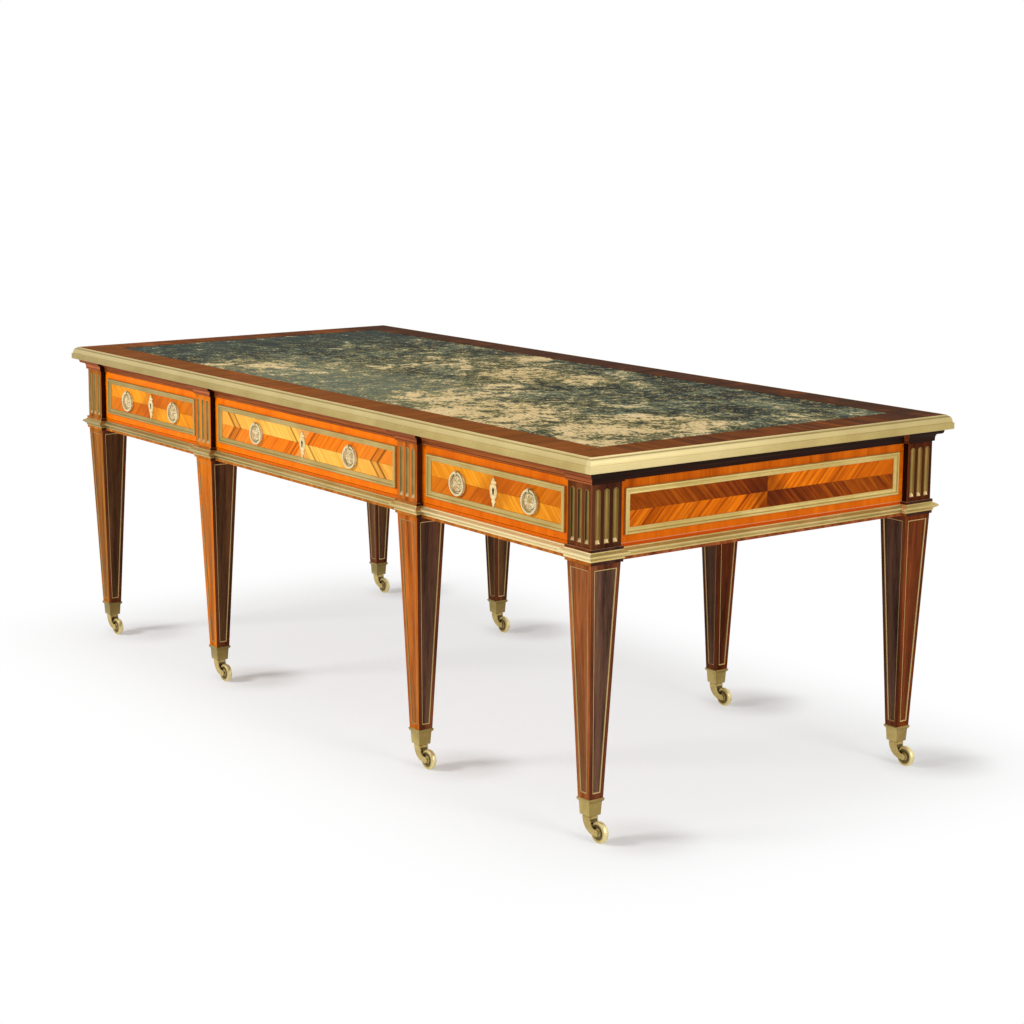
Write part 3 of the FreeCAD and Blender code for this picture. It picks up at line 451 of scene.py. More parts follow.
def wheel_metal(name):
    """Brass for the wheels of the casters, with a painted highlight on the tread and painted shade on the
    web.
    """
    finish = metal(name, *CASTER_TONES, cloud=30.0)
    x, _, z = split(finish.place)
    off_x, off_z = off_legs(x - (axle.x - corner_axis.x)), z - axle.z
    reach = off_x * off_x + off_z * off_z

    def beyond(near, far):
        return step(reach, (wheel_radius * near) ** 2, (wheel_radius * far) ** 2)

    # Painted shade on the web between hub and rim, and a painted highlight on the tread.
    web = beyond(0.36, 0.42) * (1 - beyond(0.66, 0.74))
    tread = beyond(0.84, 0.93)
    return finish.wash((tread * 0.7, (250, 234, 178)), (web * 0.8, (62, 44, 14)))


def fork_metal(name):
    """Brass for the horns of the casters, with painted shade between their cheeks."""
    finish = metal(name, *CASTER_TONES, cloud=30.0)
    _, y, z = split(finish.place)
    over_wheel = step(z, wheel_radius * 2 - 0.001, wheel_radius * 2 + 0.002)
    # Painted shade on the inner faces of the cheeks, beside the wheel.
    inside = (1 - step(abs(abs(y) + axle.y), 0.0086, 0.0092)) * (1 - over_wheel)
    return finish.wash((inside * 0.85, (44, 30, 10)))


def line_metal(name):
    """Brass for the lines in the legs, browner on the faces that look forward, less so at the right end."""
    finish = metal(name, (212, 184, 120), (184, 152, 88), (130, 98, 46), cloud=30.0)
    x, _, _ = split(finish.place)
    _, facing_y, _ = split(finish.place["Normal"])
    # Browner on the faces that look forward, less so at the right end.
    forward = step(-1 * facing_y, 0.4, 0.6) * (0.55 - 0.2 * step(x, 0.5, 0.8))
    return finish.wash((forward, (112, 82, 32)))


FRAME_TONES = ((214, 190, 120), (194, 168, 96), (128, 102, 46))
edge_brass, brass = edge_metal("edge_brass"), base_metal("olive_brass")
line_brass, foot_brass = line_metal("line_brass"), foot_metal("foot_brass")
fork_brass, wheel_brass = fork_metal("fork_brass"), wheel_metal("wheel_brass")
frame_brass = metal("frame_brass", *FRAME_TONES, dirt=0.4, left_darkening=0.35).material
gilt = metal("gilt_mounts", (244, 230, 188), (222, 204, 152), (84, 64, 26), cloud=40.0, dirt=0.85).material
# On the rosettes the hollow tone is near black: old dirt, and painted shade in the moat round the dome and
# the grooves of the petals.
rose_gilt = metal("gilt_roses", (255, 232, 186), (196, 160, 92), (30, 16, 0), cloud=90.0, dirt=1.0).material
key_gilt = metal("gilt_keys", (255, 232, 178), (248, 212, 140), (78, 52, 12), cloud=40.0, dirt=0.7).material
metals = (edge_brass, brass, line_brass, foot_brass, fork_brass, wheel_brass, frame_brass)
print("metals:", [material.name for material in (*metals, gilt, rose_gilt, key_gilt)])

# %% [markdown]
# ## Veneer
# All the show wood is sawn veneer, thin sheets glued to a plainer carcass. What the eye reads is
# the direction of the fibres, so the veneer function takes three coordinates and stretches its
# noise along the first. Broad bands are the growth rings, fine threads are the pores.


# %% Veneer
def veneer(along, across, depth, ring=60.0):
    """A grey from 0 to 1 with rings, threads and pores that run along the first coordinate."""
    rings = noise(joined(along * 1.8, across * ring, depth * ring), 1.0, detail=4, bend=0.4)
    threads = noise(joined(along * 16, across * 520, depth * 520), 1.0, detail=2)
    flecks = noise(joined(along * 70, across * 1500, depth * 1500), 1.0, detail=1)
    return rings * 0.66 + threads * 0.26 + flecks * 0.08, threads


def polish(finish, colour, threads, low=0.3, spread=0.2):
    """Old wax polish: the colour, a sheen broken by the pores, and their slight relief."""
    handled = noise(finish.place, 14, detail=3)
    finish.feed("Base Color", colour)
    finish.feed("Roughness", low + spread * handled + 0.08 * threads)
    finish.relief(threads, 0.00006)
    return finish.material


def paint(material, *names):
    """Give CAD nodes a material."""
    for name in names:
        for slot in nodes[name].material_slots:
            slot.material = material
    print(material.name, "on", *names)


# %% [markdown]
# ## Kingwood legs
# Each leg has a dark, streaky kingwood. Its faces are painted lit or shaded: those that look out to
# the front or back are painted warm and lit, the others darker as painted shade, lighter towards the
# left end, and the faces of the back legs that look to the ends a lit russet. A sunk panel on each
# face is framed by a brass line, with a plainer border outside it. The masks for that come from the
# distance to the leg's own axis, which the caster below it gives. The sides of a block that look
# into a bay are painted almost black as shade, the blocks of the right-hand legs are darker, and a
# line of painted shade runs just inside the brass line down each side of every sunk panel.

# %% Legs
block_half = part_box("corner_legs")[1].x - corner_axis.x
apron_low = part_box("apron_fillets")[0].z
stringing_low, stringing_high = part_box("leg_stringing")
sabot_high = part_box("sabots")[1].z
LEG_TOP_HALF, LEG_FOOT_HALF, PANEL_INSET = 0.037, 0.01775, 0.0085
LINE_WIDTH = 0.002
# Tones of painted shade, for the faces that don't look out to the front or back.
SHADED_GREYWOOD = ((0.34, (42, 27, 22)), (0.47, (90, 62, 48)), (0.58, (112, 78, 60)), (0.7, (138, 94, 68)))


def kingwood_leg(name, axis, left_front, right_front):
    """Kingwood for a set of legs; the last two are the tones of their outer faces, left and right, painted as
    lit.
    """
    finish = Finish(name, Specular_IOR_Level=0.03)
    x, y, z = split(finish.place)
    off_x, off_y = abs(x) - axis.x, abs(y) + axis.y
    facing_x, facing_y, _ = split(finish.place["Normal"])
    to_front = step(abs(facing_y), 0.4, 0.6)
    out_y = step(facing_y * y.sign(), 0.4, 0.6)
    out_x = step(facing_x * x.sign(), 0.4, 0.6)
    beside = abs(off_y) + (abs(off_x) - abs(off_y)) * to_front
    rise = (z - sabot_high) * (1 / (apron_low - sabot_high))
    inner = rise * (LEG_TOP_HALF - LEG_FOOT_HALF) + (LEG_FOOT_HALF - PANEL_INSET)
    above = step(z, stringing_high.z - 0.001, stringing_high.z)
    below = 1 - step(z, stringing_low.z, stringing_low.z + 0.001)
    border = step(beside - inner, -0.0004, 0.0004).larger(above).larger(below)
    # A line of painted shade just inside the brass line down each side of a sunk panel.
    panel_edge_shade = step(beside - inner, -LINE_WIDTH - 0.0016, -LINE_WIDTH - 0.0006) * (1 - border)
    grain, threads = veneer(z, x + y * 0.37, y - x * 0.37, ring=48.0)
    # Faces that look out to the front or back get warm tones, painted as lit.
    warm = mix(step(x, -0.1, 0.1), tones(grain, *left_front), tones(grain, *right_front))
    # The other faces get darker tones as painted shade, lighter towards the left end.
    shaded_tones = tones(grain, *SHADED_GREYWOOD)
    shaded_border_tones = tones(grain, (0.34, (58, 28, 16)), (0.5, (104, 54, 32)), (0.66, (138, 78, 46)))
    less_shaded_tones = tones(grain, (0.34, (54, 32, 16)), (0.5, (98, 64, 36)), (0.66, (130, 88, 50)))
    shaded_tones = mix(step(-1 * x, -0.6, 0.6) * 0.75, shaded_tones, less_shaded_tones)
    # A painted lit russet for the faces of the back legs that look to the ends.
    lit_russet = tones(grain, (0.34, (56, 18, 0)), (0.5, (106, 42, 0)), (0.66, (138, 62, 8)))
    streaks = step(noise(joined(x * 90, y * 90, z * 1.4), 1.0, detail=3), 0.46, 0.6)
    worn = 1 - step(rise, 0.1, 0.8)
    panel_warm = mix(streaks * 0.45 + worn * (0.2 + step(x, 0.7, 0.8) * 0.3), warm, (116, 80, 50))
    colour = mix(out_y, mix(border, shaded_tones, shaded_border_tones), mix(border, panel_warm, warm))
    block = step(z, apron_low + 0.001, apron_low + 0.002)
    # Painted shade: the line inside each panel and the block sides that look into a bay, nearly black; the
    # blocks of the right-hand legs are darker.
    colour = washed(
        colour,
        (out_x * step(y, -0.05, 0.05) * 0.8, lit_russet),
        (panel_edge_shade * 0.8, (44, 24, 8)),
        (block * (1 - out_x.larger(out_y)) * 0.9, (26, 9, 4)),
        (block * step(x, 0.7, 0.8) * 0.55, (40, 15, 4)),
    )
    return polish(finish, colour, threads)


REDWOOD = ((0.34, (72, 32, 12)), (0.47, (130, 68, 30)), (0.57, (164, 92, 46)), (0.69, (194, 124, 72)))
AMBERWOOD = ((0.34, (84, 40, 4)), (0.47, (136, 76, 12)), (0.57, (162, 96, 20)), (0.69, (190, 124, 40)))
FLAMEWOOD = ((0.34, (140, 62, 4)), (0.47, (194, 100, 10)), (0.57, (212, 114, 14)), (0.69, (228, 140, 30)))
TAWNY = ((0.34, (126, 56, 10)), (0.47, (178, 92, 24)), (0.57, (198, 110, 36)), (0.69, (218, 138, 60)))
paint(kingwood_leg("kingwood_corner_legs", corner_axis, AMBERWOOD, REDWOOD), "corner_legs")
paint(kingwood_leg("kingwood_middle_legs", middle_axis, FLAMEWOOD, TAWNY), "middle_legs")
print("leg axes:", corner_axis, middle_axis)

# %% [markdown]
# ## Dark mouldings and the border of the top
# The cornice and the fillets are long-grained, so their fibres follow the side of the desk that
# they run along. The border round the leather is crossbanded: its fibres run out to the edge
# and turn at the mitres. A piece of that border is told apart by which edge is nearer.


# %% Long-grained and crossbanded kingwood
half_x, half_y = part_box("top_board")[1].xy
CORNICE_FACE, CORNICE_BED, CORNICE_OUT = 0.0105, 0.004, 0.018
# The next three are lit and shaded copies of one wood: lit at the blocks, painted lighter in the bays to make
# up for their shade, and dark as painted shade where a face looks to an end.
LIT = ((0.34, (100, 42, 16)), (0.47, (148, 76, 36)), (0.58, (172, 92, 48)), (0.7, (196, 116, 68)))
LIT_IN_BAY = ((0.34, (108, 48, 12)), (0.47, (156, 80, 30)), (0.58, (176, 95, 40)), (0.7, (198, 118, 58)))
DARK = ((0.34, (12, 4, 1)), (0.47, (30, 14, 6)), (0.58, (42, 20, 10)), (0.7, (64, 36, 20)))
BORDER = ((0.3, (46, 18, 0)), (0.46, (88, 42, 6)), (0.58, (112, 58, 12)), (0.72, (148, 84, 24)))


def nearer_end(x, y):
    """1 where the end of the desk is nearer than its front or back, as the mitres divide it."""
    return step(abs(x) - abs(y), half_x - half_y - 0.0003, half_x - half_y + 0.0003)


def kingwood_lengths(name):
    finish = Finish(name, Specular_IOR_Level=0.05)
    x, y, z = split(finish.place)
    end = nearer_end(x, y)
    along = x + (y - x) * end
    across = y + (x - y) * end
    grain, threads = veneer(along, across, z, ring=150.0)
    facing_x, facing_y, _ = split(finish.place["Normal"])
    shaded = step(abs(facing_x) - abs(facing_y), -0.1, 0.1)
    low, top = heights("cornice_moulding")
    in_bay = step(off_legs(x), block_half + CORNICE_OUT - 0.001, block_half + CORNICE_OUT + 0.001)
    lit, sunk, dark = (tones(grain, *stops) for stops in (LIT, LIT_IN_BAY, DARK))
    # Lit copies at the blocks and in the bays, painted shade on faces that look to the ends.
    wood = mix(shaded, mix(in_bay, lit, sunk), dark)
    # Dark lines of painted shade: in the quirk under the rounded face, at the foot of the hollow and just
    # under the brass edge.
    quirk = 1 - step(abs(z - top + CORNICE_FACE + 0.0004), 0.0005, 0.0014)
    foot = 1 - step(abs(z - low - CORNICE_BED), 0.0004, 0.0012)
    head = step(z, top - 0.0022, top - 0.001)
    shade_lined = mix(quirk.larger(foot).larger(head) * 0.8, wood, (46, 18, 6))
    return polish(finish, shade_lined, threads, low=0.34)


def apron_strips(name):
    """The strips above and below the brass base: orange along the front and back, dark as painted shade where
    they look to the ends, with a painted highlight on faces that look up.
    """
    finish = Finish(name, Specular_IOR_Level=0.03)
    x, y, z = split(finish.place)
    grain, threads = veneer(z, x, y, ring=60.0)
    facing_x, facing_y, facing_z = split(finish.place["Normal"])
    shaded = step(abs(facing_x) - abs(facing_y), -0.1, 0.1)
    bright = tones(grain, (0.34, (126, 62, 10)), (0.5, (172, 98, 26)), (0.66, (204, 128, 54)))
    brown = tones(grain, (0.34, (62, 24, 8)), (0.5, (106, 50, 22)), (0.66, (136, 72, 36)))
    dark = tones(grain, (0.34, (36, 18, 12)), (0.5, (60, 34, 26)), (0.66, (84, 50, 38)))
    red = tones(grain, (0.34, (94, 40, 14)), (0.5, (142, 72, 34)), (0.66, (176, 104, 62)))
    plinth = step(z, apron_low + 0.015, apron_low + 0.016)
    at_block = step(abs(y), -corner_axis.y - block_half - 0.004, -corner_axis.y - block_half - 0.003)
    front = mix(plinth * (0.3 + 0.7 * step(x, 0.7, 0.8)), bright, brown)
    # Painted shade: faces that look to the ends are dark, darkest at the plinth and beside the blocks.
    colour = mix(shaded, front, mix(plinth.larger(at_block), red, dark))
    # A painted highlight on the faces that look up.
    return polish(finish, mix(step(facing_z, 0.5, 0.9) * 0.7, colour, (196, 156, 112)), threads, low=0.34)


def kingwood_border(name):
    finish = Finish(name, Specular_IOR_Level=0.01)
    x, y, z = split(finish.place)
    end = nearer_end(x, y)
    along = y + (x - y) * end
    across = x + (y - x) * end
    grain, threads = veneer(along, across, z, ring=40.0)
    worn = step(noise(finish.place, 5, detail=5, rough=0.7), 0.5, 0.7)
    nicks = step(noise(finish.place, 260, detail=2, rough=0.7), 0.72, 0.76)
    far, front = step(y, 0.2, 0.46), step(-1 * y, 0.2, 0.44)
    warm = step(-1 * x, -0.2, 0.7) * (1 - far)
    colour = washed(
        tones(grain, *BORDER),
        (front * 0.3, (150, 88, 26)),
        (far * 0.7, (44, 26, 14)),
        (worn * (0.4 + warm * 0.3), (158, 84, 28)),
        (nicks * 0.5, (206, 170, 130)),
    )
    return polish(finish, colour, threads, low=0.5, spread=0.15)


moulding_wood = kingwood_lengths("kingwood_mouldings")
paint(apron_strips("kingwood_strips"), "apron_fillets")
paint(kingwood_border("kingwood_top_border"), "top_board")

# %% [markdown]
# ## Tulipwood, quartered
# The drawer fronts and panels carry the best trick of the veneerer. Four leaves cut one after
# another are turned and joined so that their fibres all run to the middle, like an open
# envelope. Light catches two leaves and leaves the other two darker. Folding the coordinates
# with an absolute value turns one leaf into four, and the sign of their product says which pair
# a point belongs to. Round the brass frame runs a crossband of the same wood.


# %% Fields of drawers and panels
FRAME_WIDTH, PANEL_MARGIN = 0.014, 0.017
strip_top = apron_low + 0.0315
panel_x, panel_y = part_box("end_panels")[1].x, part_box("back_panels")[1].y
sides = ("left", "middle", "right")


def drawer_field(side):
    """Centre and half size, along the front and up, of the field that a brass frame leaves open."""
    low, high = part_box(f"{side}_drawer_frame")
    middle, half = (low + high) / 2, (high - low) / 2
    return (middle.x, middle.z), (half.x - FRAME_WIDTH, half.z - FRAME_WIDTH)


fields = {side: drawer_field(side) for side in sides}
(_, field_z), (_, field_reach_z) = fields["middle"]
end_reach = -corner_axis.y - block_half - PANEL_MARGIN - FRAME_WIDTH
fields["end"] = ((0, field_z), (end_reach, field_reach_z))
print("fields:", fields)


# %% Quartered leaves
def flat_field(name, axis):
    """What turns x, y and z into the two coordinates of a field, and adds its half sizes."""
    (middle, height), reach = fields[name]
    return lambda x, y, z: ((x, y)[axis] - middle, z - height, *reach)


def crossband(u, v, depth, reach_u, reach_v):
    """The grey of a band whose fibres stand square to the nearer edge of a field."""
    beside = step((abs(u) - reach_u) - (abs(v) - reach_v), -0.0002, 0.0002)
    along = v + (u - v) * beside
    across = u + (v - u) * beside
    return veneer(along, across, depth, ring=34.0)


def quartered(name, field, falling, rising, band, stripes=None, bored=False, figure=0.38, fade=1.0):
    """Tulipwood for one face; field turns x, y and z into u, v and the half sizes of its field.

    falling and rising are the tones of the two pairs of leaves, band those of the crossband;
    figure is how dark the streaks are, and fade the share of the way out at which leaves meet in tone.
    """
    finish = Finish(name, Specular_IOR_Level=0.04)
    x, y, z = split(finish.place)
    u, v, reach_u, reach_v = field(x, y, z)
    p, q = abs(u), abs(v)
    product = u * v
    leaf = product.math("LESS_THAN", product, 0.0)
    slant = 0.5**0.5
    along, across = (p + q) * slant, (p - q) * slant
    grain, threads = veneer(along, across, leaf * 0.004 + u.sign() * 0.002, ring=150.0)
    outer = step(p / reach_u + (noise(finish.place, 14, detail=3) - 0.5) * 0.7, 0.1, fade)
    streaks = joined(along * 5, across * 44, leaf * 3)
    patches = step(noise(streaks, 1.0, detail=5, rough=0.62, bend=0.5), 0.5, 0.68)
    light, dark = (mix(patches * figure, tones(grain, *stops), stops[0][1]) for stops in (falling, rising))
    between = mix(0.5, light, dark)
    light, dark = mix(outer * 0.55, light, between), mix(outer * 0.4, dark, between)
    colour = mix(leaf, dark, light)
    if stripes:
        colour = stripes(colour, across)
    else:
        core = 1 - step(p + q * 0.4 + (noise(finish.place, 40, detail=3) - 0.5) * 0.05, 0.02, 0.075)
        colour = mix(core * 0.5, colour, rising[0][1] if bored else falling[0][1])
    seam = 1 - step(p.smaller(q), 0.0002, 0.0007)
    colour = mix(seam * 0.45, colour, (96, 44, 14))
    band_grain, band_threads = crossband(u, v, leaf * 0.01, reach_u, reach_v)
    inside = (1 - step(p - reach_u, -0.0005, 0)) * (1 - step(q - reach_v, -0.0005, 0))
    banding = tones(band_grain, *band)
    if not bored:
        # Painted light: the lower half of the crossband is painted brighter than the upper half.
        banding = mix((1 - step(v, -0.06, 0.06)) * 0.35, banding, (240, 114, 8))
    colour = mix(inside, banding, colour)
    if bored:
        _, facing_y, _ = split(finish.place["Normal"])
        bare_oak = tones(band_grain, (0.34, (122, 84, 44)), (0.5, (160, 116, 66)), (0.68, (188, 146, 92)))
        colour = mix(step(-1 * facing_y, 0.4, 0.6), bare_oak, colour)
        # Painted shade: inside the keyhole the wood is painted nearly black.
        hole = (1 - step(p, 0.0046, 0.005)) * (1 - step(abs(v - 0.0024), 0.0082, 0.0086))
        colour = mix(hole * 0.95, colour, (14, 8, 4))
    else:
        colour = lower_edge(colour, z)
    return polish(finish, colour, band_threads + (threads - band_threads) * inside, low=0.26)


def lower_edge(colour, z):
    """A red strip just above the base of the apron, with a painted highlight along its top."""
    strip = 1 - step(z, strip_top - 0.0005, strip_top)
    # A painted highlight along the top of the strip.
    line = (1 - strip) * (1 - step(z, strip_top + 0.0008, strip_top + 0.0014))
    return mix(line * 0.6, mix(strip * 0.75, colour, (190, 66, 2)), (206, 160, 126))


GOLD = ((0.34, (214, 120, 12)), (0.46, (234, 146, 24)), (0.56, (242, 160, 36)), (0.68, (250, 180, 60)))
AMBER = ((0.34, (166, 74, 2)), (0.47, (194, 94, 4)), (0.57, (206, 104, 8)), (0.7, (222, 122, 18)))
ORANGE = ((0.34, (224, 102, 0)), (0.47, (237, 115, 2)), (0.57, (243, 122, 4)), (0.7, (249, 134, 10)))
EMBER = ((0.36, (200, 88, 2)), (0.47, (228, 110, 4)), (0.56, (238, 122, 8)), (0.68, (248, 142, 24)))
UMBER = ((0.34, (66, 22, 3)), (0.47, (108, 42, 6)), (0.58, (132, 56, 8)), (0.7, (166, 78, 16)))
TAN = ((0.34, (204, 88, 0)), (0.47, (221, 103, 1)), (0.57, (229, 111, 3)), (0.7, (238, 124, 8)))
RUST = ((0.34, (146, 62, 2)), (0.47, (190, 87, 3)), (0.57, (208, 100, 6)), (0.7, (230, 124, 16)))
BLAZE = ((0.36, (140, 56, 0)), (0.46, (206, 96, 3)), (0.56, (236, 120, 8)), (0.66, (255, 158, 32)))
PALE = ((0.34, (230, 156, 48)), (0.46, (244, 180, 72)), (0.56, (249, 192, 86)), (0.68, (253, 208, 112)))

# %% [markdown]
# The middle drawer is wider and paler. Near each end two dark lines make a chevron, and round
# the keyhole the leaves leave an hourglass of plain pale wood.


# %% Stripes of the middle drawer
def middle_stripes(colour, across):
    def line(at, wide):
        return 1 - step(abs(across - at), wide * 0.4, wide * 0.6)

    between = step(across, 0.198, 0.202) * (1 - step(across, 0.214, 0.218))
    dark = line(0.218, 0.007).larger(line(0.199, 0.0045)).larger(line(0.016, 0.006) * 0.8)
    dark = dark.larger(line(0.03, 0.003) * 0.5).larger(line(0.1, 0.002) * 0.35).larger(between * 0.3)
    colour = mix(dark * 0.75, colour, (108, 56, 10))
    waist = 1 - step(across, -0.0006, 0.0006)
    return mix(waist * 0.85, colour, (222, 154, 78))


for side in sides:
    falling, rising, stripes = (PALE, EMBER, middle_stripes) if side == "middle" else (GOLD, AMBER, None)
    band = TAN if side == "right" else ORANGE
    field = flat_field(side, 0)
    wood = quartered(f"tulipwood_{side}_drawer", field, falling, rising, band, stripes, bored=True)
    paint(wood, f"{side}_drawer_front")
end_wood = quartered("tulipwood_ends", flat_field("end", 1), UMBER, BLAZE, RUST, figure=0.6, fade=0.75)
paint(end_wood, "end_panels")

# %% [markdown]
# The rails between drawers and mouldings, and the false drawers at the back, are banded in the
# same orange wood with upright fibres. The back has three fields, so its folded coordinate is
# taken from the middle of whichever bay a point lies in.


# %% Rails and back
def banded_rails(name):
    finish = Finish(name, Specular_IOR_Level=0.04)
    x, y, z = split(finish.place)
    grain, threads = veneer(z, x, y, ring=34.0)
    strip = 1 - step(z, strip_top - 0.0005, strip_top)
    return polish(finish, mix(strip * 0.6, tones(grain, *ORANGE), (206, 84, 4)), threads, low=0.26)


def back_field(x, y, z):
    """The three bays of the back: each point is measured from the middle of its own bay."""
    (side_centre, _), (side_reach, _) = fields["right"]
    (_, centre_z), (middle_reach, reach_z) = fields["middle"]
    at_side = abs(x).math("GREATER_THAN", abs(x), middle_axis.x)
    u = x + (abs(x) - side_centre - x) * at_side
    return u, z - centre_z, at_side * (side_reach - middle_reach) + middle_reach, reach_z


paint(banded_rails("tulipwood_rails"), "drawer_rails")
paint(quartered("tulipwood_back", back_field, GOLD, AMBER, ORANGE), "back_panels")

# %% [markdown]
# ## Oak and iron inside
# Drawer boxes, partitions and runners are plain oak, pale and open-pored, never polished. The
# locks behind the drawer fronts are iron, with a little rust.


# %% Oak and iron
def oak_boards(name):
    finish = Finish(name, Specular_IOR_Level=0.2)
    x, y, z = split(finish.place)
    grain, threads = veneer(y, x, z, ring=36.0)
    rays = step(noise(joined(x * 260, y * 30, z * 260), 1.0, detail=1), 0.62, 0.7)
    colour = tones(grain, (0.34, (104, 72, 38)), (0.5, (158, 118, 70)), (0.66, (192, 154, 100)))
    colour = mix(rays * 0.3, colour, (206, 172, 120))
    return polish(finish, colour, threads, low=0.55)


def iron_finish(name):
    finish = Finish(name, Metallic=0.6)
    rust = step(noise(finish.place, 60, detail=5, rough=0.65), 0.46, 0.64)
    pits = noise(finish.place, 500, detail=2)
    colour = mix(rust * 0.7, mix(pits, (58, 54, 50), (92, 88, 82)), (98, 58, 32))
    finish.feed("Base Color", colour)
    finish.feed("Roughness", 0.42 + rust * 0.35)
    finish.relief(pits * 0.6 + rust * 0.4, 0.00015)
    return finish.material


iron = iron_finish("rusted_iron")
oak = oak_boards("plain_oak")
paint(oak, "partitions", "drawer_runners", *(f"{side}_drawer_box" for side in sides))
paint(iron, *(name for name in nodes if name.endswith(("_lock", "_bolt"))))
paint(fork_brass, *(name for name in nodes if name.endswith("_fork")))

# %% [markdown]
# ## Pieces of our own
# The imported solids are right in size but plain. A moulding, a rosette or a laid sheet is made anew
# as a mesh in the same place, rides on the same body and stands in for the solid. Three helpers
# do the book-keeping, and one of them marks the arrises that stay sharp.


# %% Placing a piece
SHARP_ANGLE = math.radians(24)
BEND_GAIN, FINE_BEND_GAIN = 1.8, 6.0
LONG_EDGE = 0.008


def place_piece(name, mesh, material, body, slot, *replaced):
    """Hang a finished mesh on a body, in one material, instead of the named CAD nodes."""
    mesh.materials.clear()
    mesh.materials.append(material)
    piece = bpy.data.objects.new(name, mesh)
    scene.collection.objects.link(piece)
    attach(piece, body)
    if replaced:
        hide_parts(*replaced)
    print(name, len(mesh.polygons), "faces")
    return piece


def finished_mesh(name, shape, gain=BEND_GAIN):
    """A plain mesh from a bmesh: doubles merged, faces outwards, smooth between its arrises.

    At every point it carries how far its neighbours stand above it (hollow) or below it (arris).
    Long edges don't count, because a mitre at one end would else dirty a whole length.
    """
    bmesh.ops.remove_doubles(shape, verts=shape.verts, dist=1e-6)
    bmesh.ops.recalc_face_normals(shape, faces=shape.faces)
    for face in shape.faces:
        face.smooth = True
    for edge in shape.edges:
        edge.smooth = edge.calc_face_angle(math.pi) < SHARP_ANGLE
    shape.normal_update()
    bends = []
    for vertex in shape.verts:
        ways = [edge.other_vert(vertex).co - vertex.co for edge in vertex.link_edges]
        ways = [way.normalized() for way in ways if way.length < LONG_EDGE]
        bends.append(sum(way.dot(vertex.normal) for way in ways) / max(2, len(ways)))
    mesh = bpy.data.meshes.new(name)
    shape.to_mesh(mesh)
    shape.free()
    for attribute, sign in (("hollow", gain), ("arris", -gain)):
        values = mesh.attributes.new(attribute, "FLOAT", "POINT").data
        values.foreach_set("value", [min(1.0, max(0.0, sign * bend)) for bend in bends])
    return mesh


def new_piece(name, shape, material, body, slot, *replaced, gain=BEND_GAIN):
    return place_piece(name, finished_mesh(name, shape, gain), material, body, slot, *replaced)


# %% [markdown]
# Nearly every shape below is a grid of points with faces between its rows, bent round or left
# open. Such shapes could be extruded or spun, but points from a formula land where the frame says.


# %% Grids of points
def skin(shape, rows, rows_meet=True, ends_meet=True):
    """Faces between neighbouring rows of points.

    The last row meets the first, and the last point of a row its first, unless told otherwise.
    """
    following = rows[1:] + rows[:1] if rows_meet else rows[1:]
    for near, far in zip(rows, following):
        for j in range(0 if ends_meet else 1, len(near)):
            shape.faces.new((near[j - 1], near[j], far[j], far[j - 1]))


def surface(shape, rows, columns, place, rows_meet=True, ends_meet=True):
    """A grid of points and the faces between; place turns a row and a column into a point."""
    points = [[shape.verts.new(place(row, column)) for column in columns] for row in rows]
    skin(shape, points, rows_meet, ends_meet)
    return points


def round_angles(count):
    return [2 * math.pi * i / count for i in range(count)]


def rim_of(shape):
    return [edge for edge in shape.edges if edge.is_boundary]


def backed(shape, axis, level):
    """Walls from the open rim to a level along one axis, with a flat back between them."""
    walls = bmesh.ops.extrude_edge_only(shape, edges=rim_of(shape))["geom"]
    for vertex in (item for item in walls if isinstance(item, bmesh.types.BMVert)):
        vertex.co[axis] = level
    bmesh.ops.edgeloop_fill(shape, edges=rim_of(shape))


def rectangle(low, high):
    """Its corners, counter-clockwise from the low one."""
    return [low, (high[0], low[1]), high, (low[0], high[1])]


# %% [markdown]
# ## Mouldings
# A moulding is one profile carried along a line. Where the line turns, the joiner cuts a mitre,
# so each corner of the line gets one copy of the profile, stretched along the bisector. That
# works for the straight edge of the top and for the apron, whose line breaks forward round every
# leg. A sweep along a curve would round those corners or pinch them.


# %% Profiles and mitres
def arc(centre, radii, start, end, steps=8):
    """Points on part of an ellipse; the angles are in degrees."""
    angles = [math.radians(start + (end - start) * i / steps) for i in range(steps + 1)]
    return [(centre[0] + radii[0] * math.cos(a), centre[1] + radii[1] * math.sin(a)) for a in angles]


def eased(profile, radius=0.0004, steps=3):
    """The profile with every sharp corner rubbed down a little, as polish does."""
    made = []
    for i, corner in enumerate(profile):
        here = Vector(corner)
        back, on = Vector(profile[i - 1]) - here, Vector(profile[(i + 1) % len(profile)]) - here
        if min(back.length, on.length) < 1e-6 or back.angle(on) > math.radians(150):
            made.append(here)
            continue
        near, far = (here + way.normalized() * min(radius, way.length / 2.5) for way in (back, on))
        for part in range(steps + 1):
            share = part / steps
            made.append(near.lerp(here, share).lerp(here.lerp(far, share), share))
    return made


def mitre(before, here, after, offset):
    """The point at a distance to the right of both lines that meet in here."""
    ways = [(here - before).normalized(), (after - here).normalized()]
    one, two = (Vector((way.y, -way.x)) for way in ways)
    return here + (one + two) * (offset / (1 + one.dot(two)))


def carried(shape, profile, loop, place):
    """A closed profile of (offset, rise) round a closed loop that runs counter-clockwise."""
    loop = [Vector(point) for point in loop]
    corners = list(zip(loop[-1:] + loop[:-1], loop, loop[1:] + loop[:1]))
    surface(shape, corners, profile, lambda corner, point: place(*mitre(*corner, point[0]), point[1]))


def upright(x, y, rise):
    return (x, y, rise)


# %% [markdown]
# The brass edge of the top has a small bead against the wood, a quirk, one broad round and a flat
# band below a step. The wooden cornice below it has a rounded face over a hollow, and the brass
# base of the apron a nose between two slopes. Each back is let a hair into the wood.

# %% Three long mouldings
BACKING = -0.0004


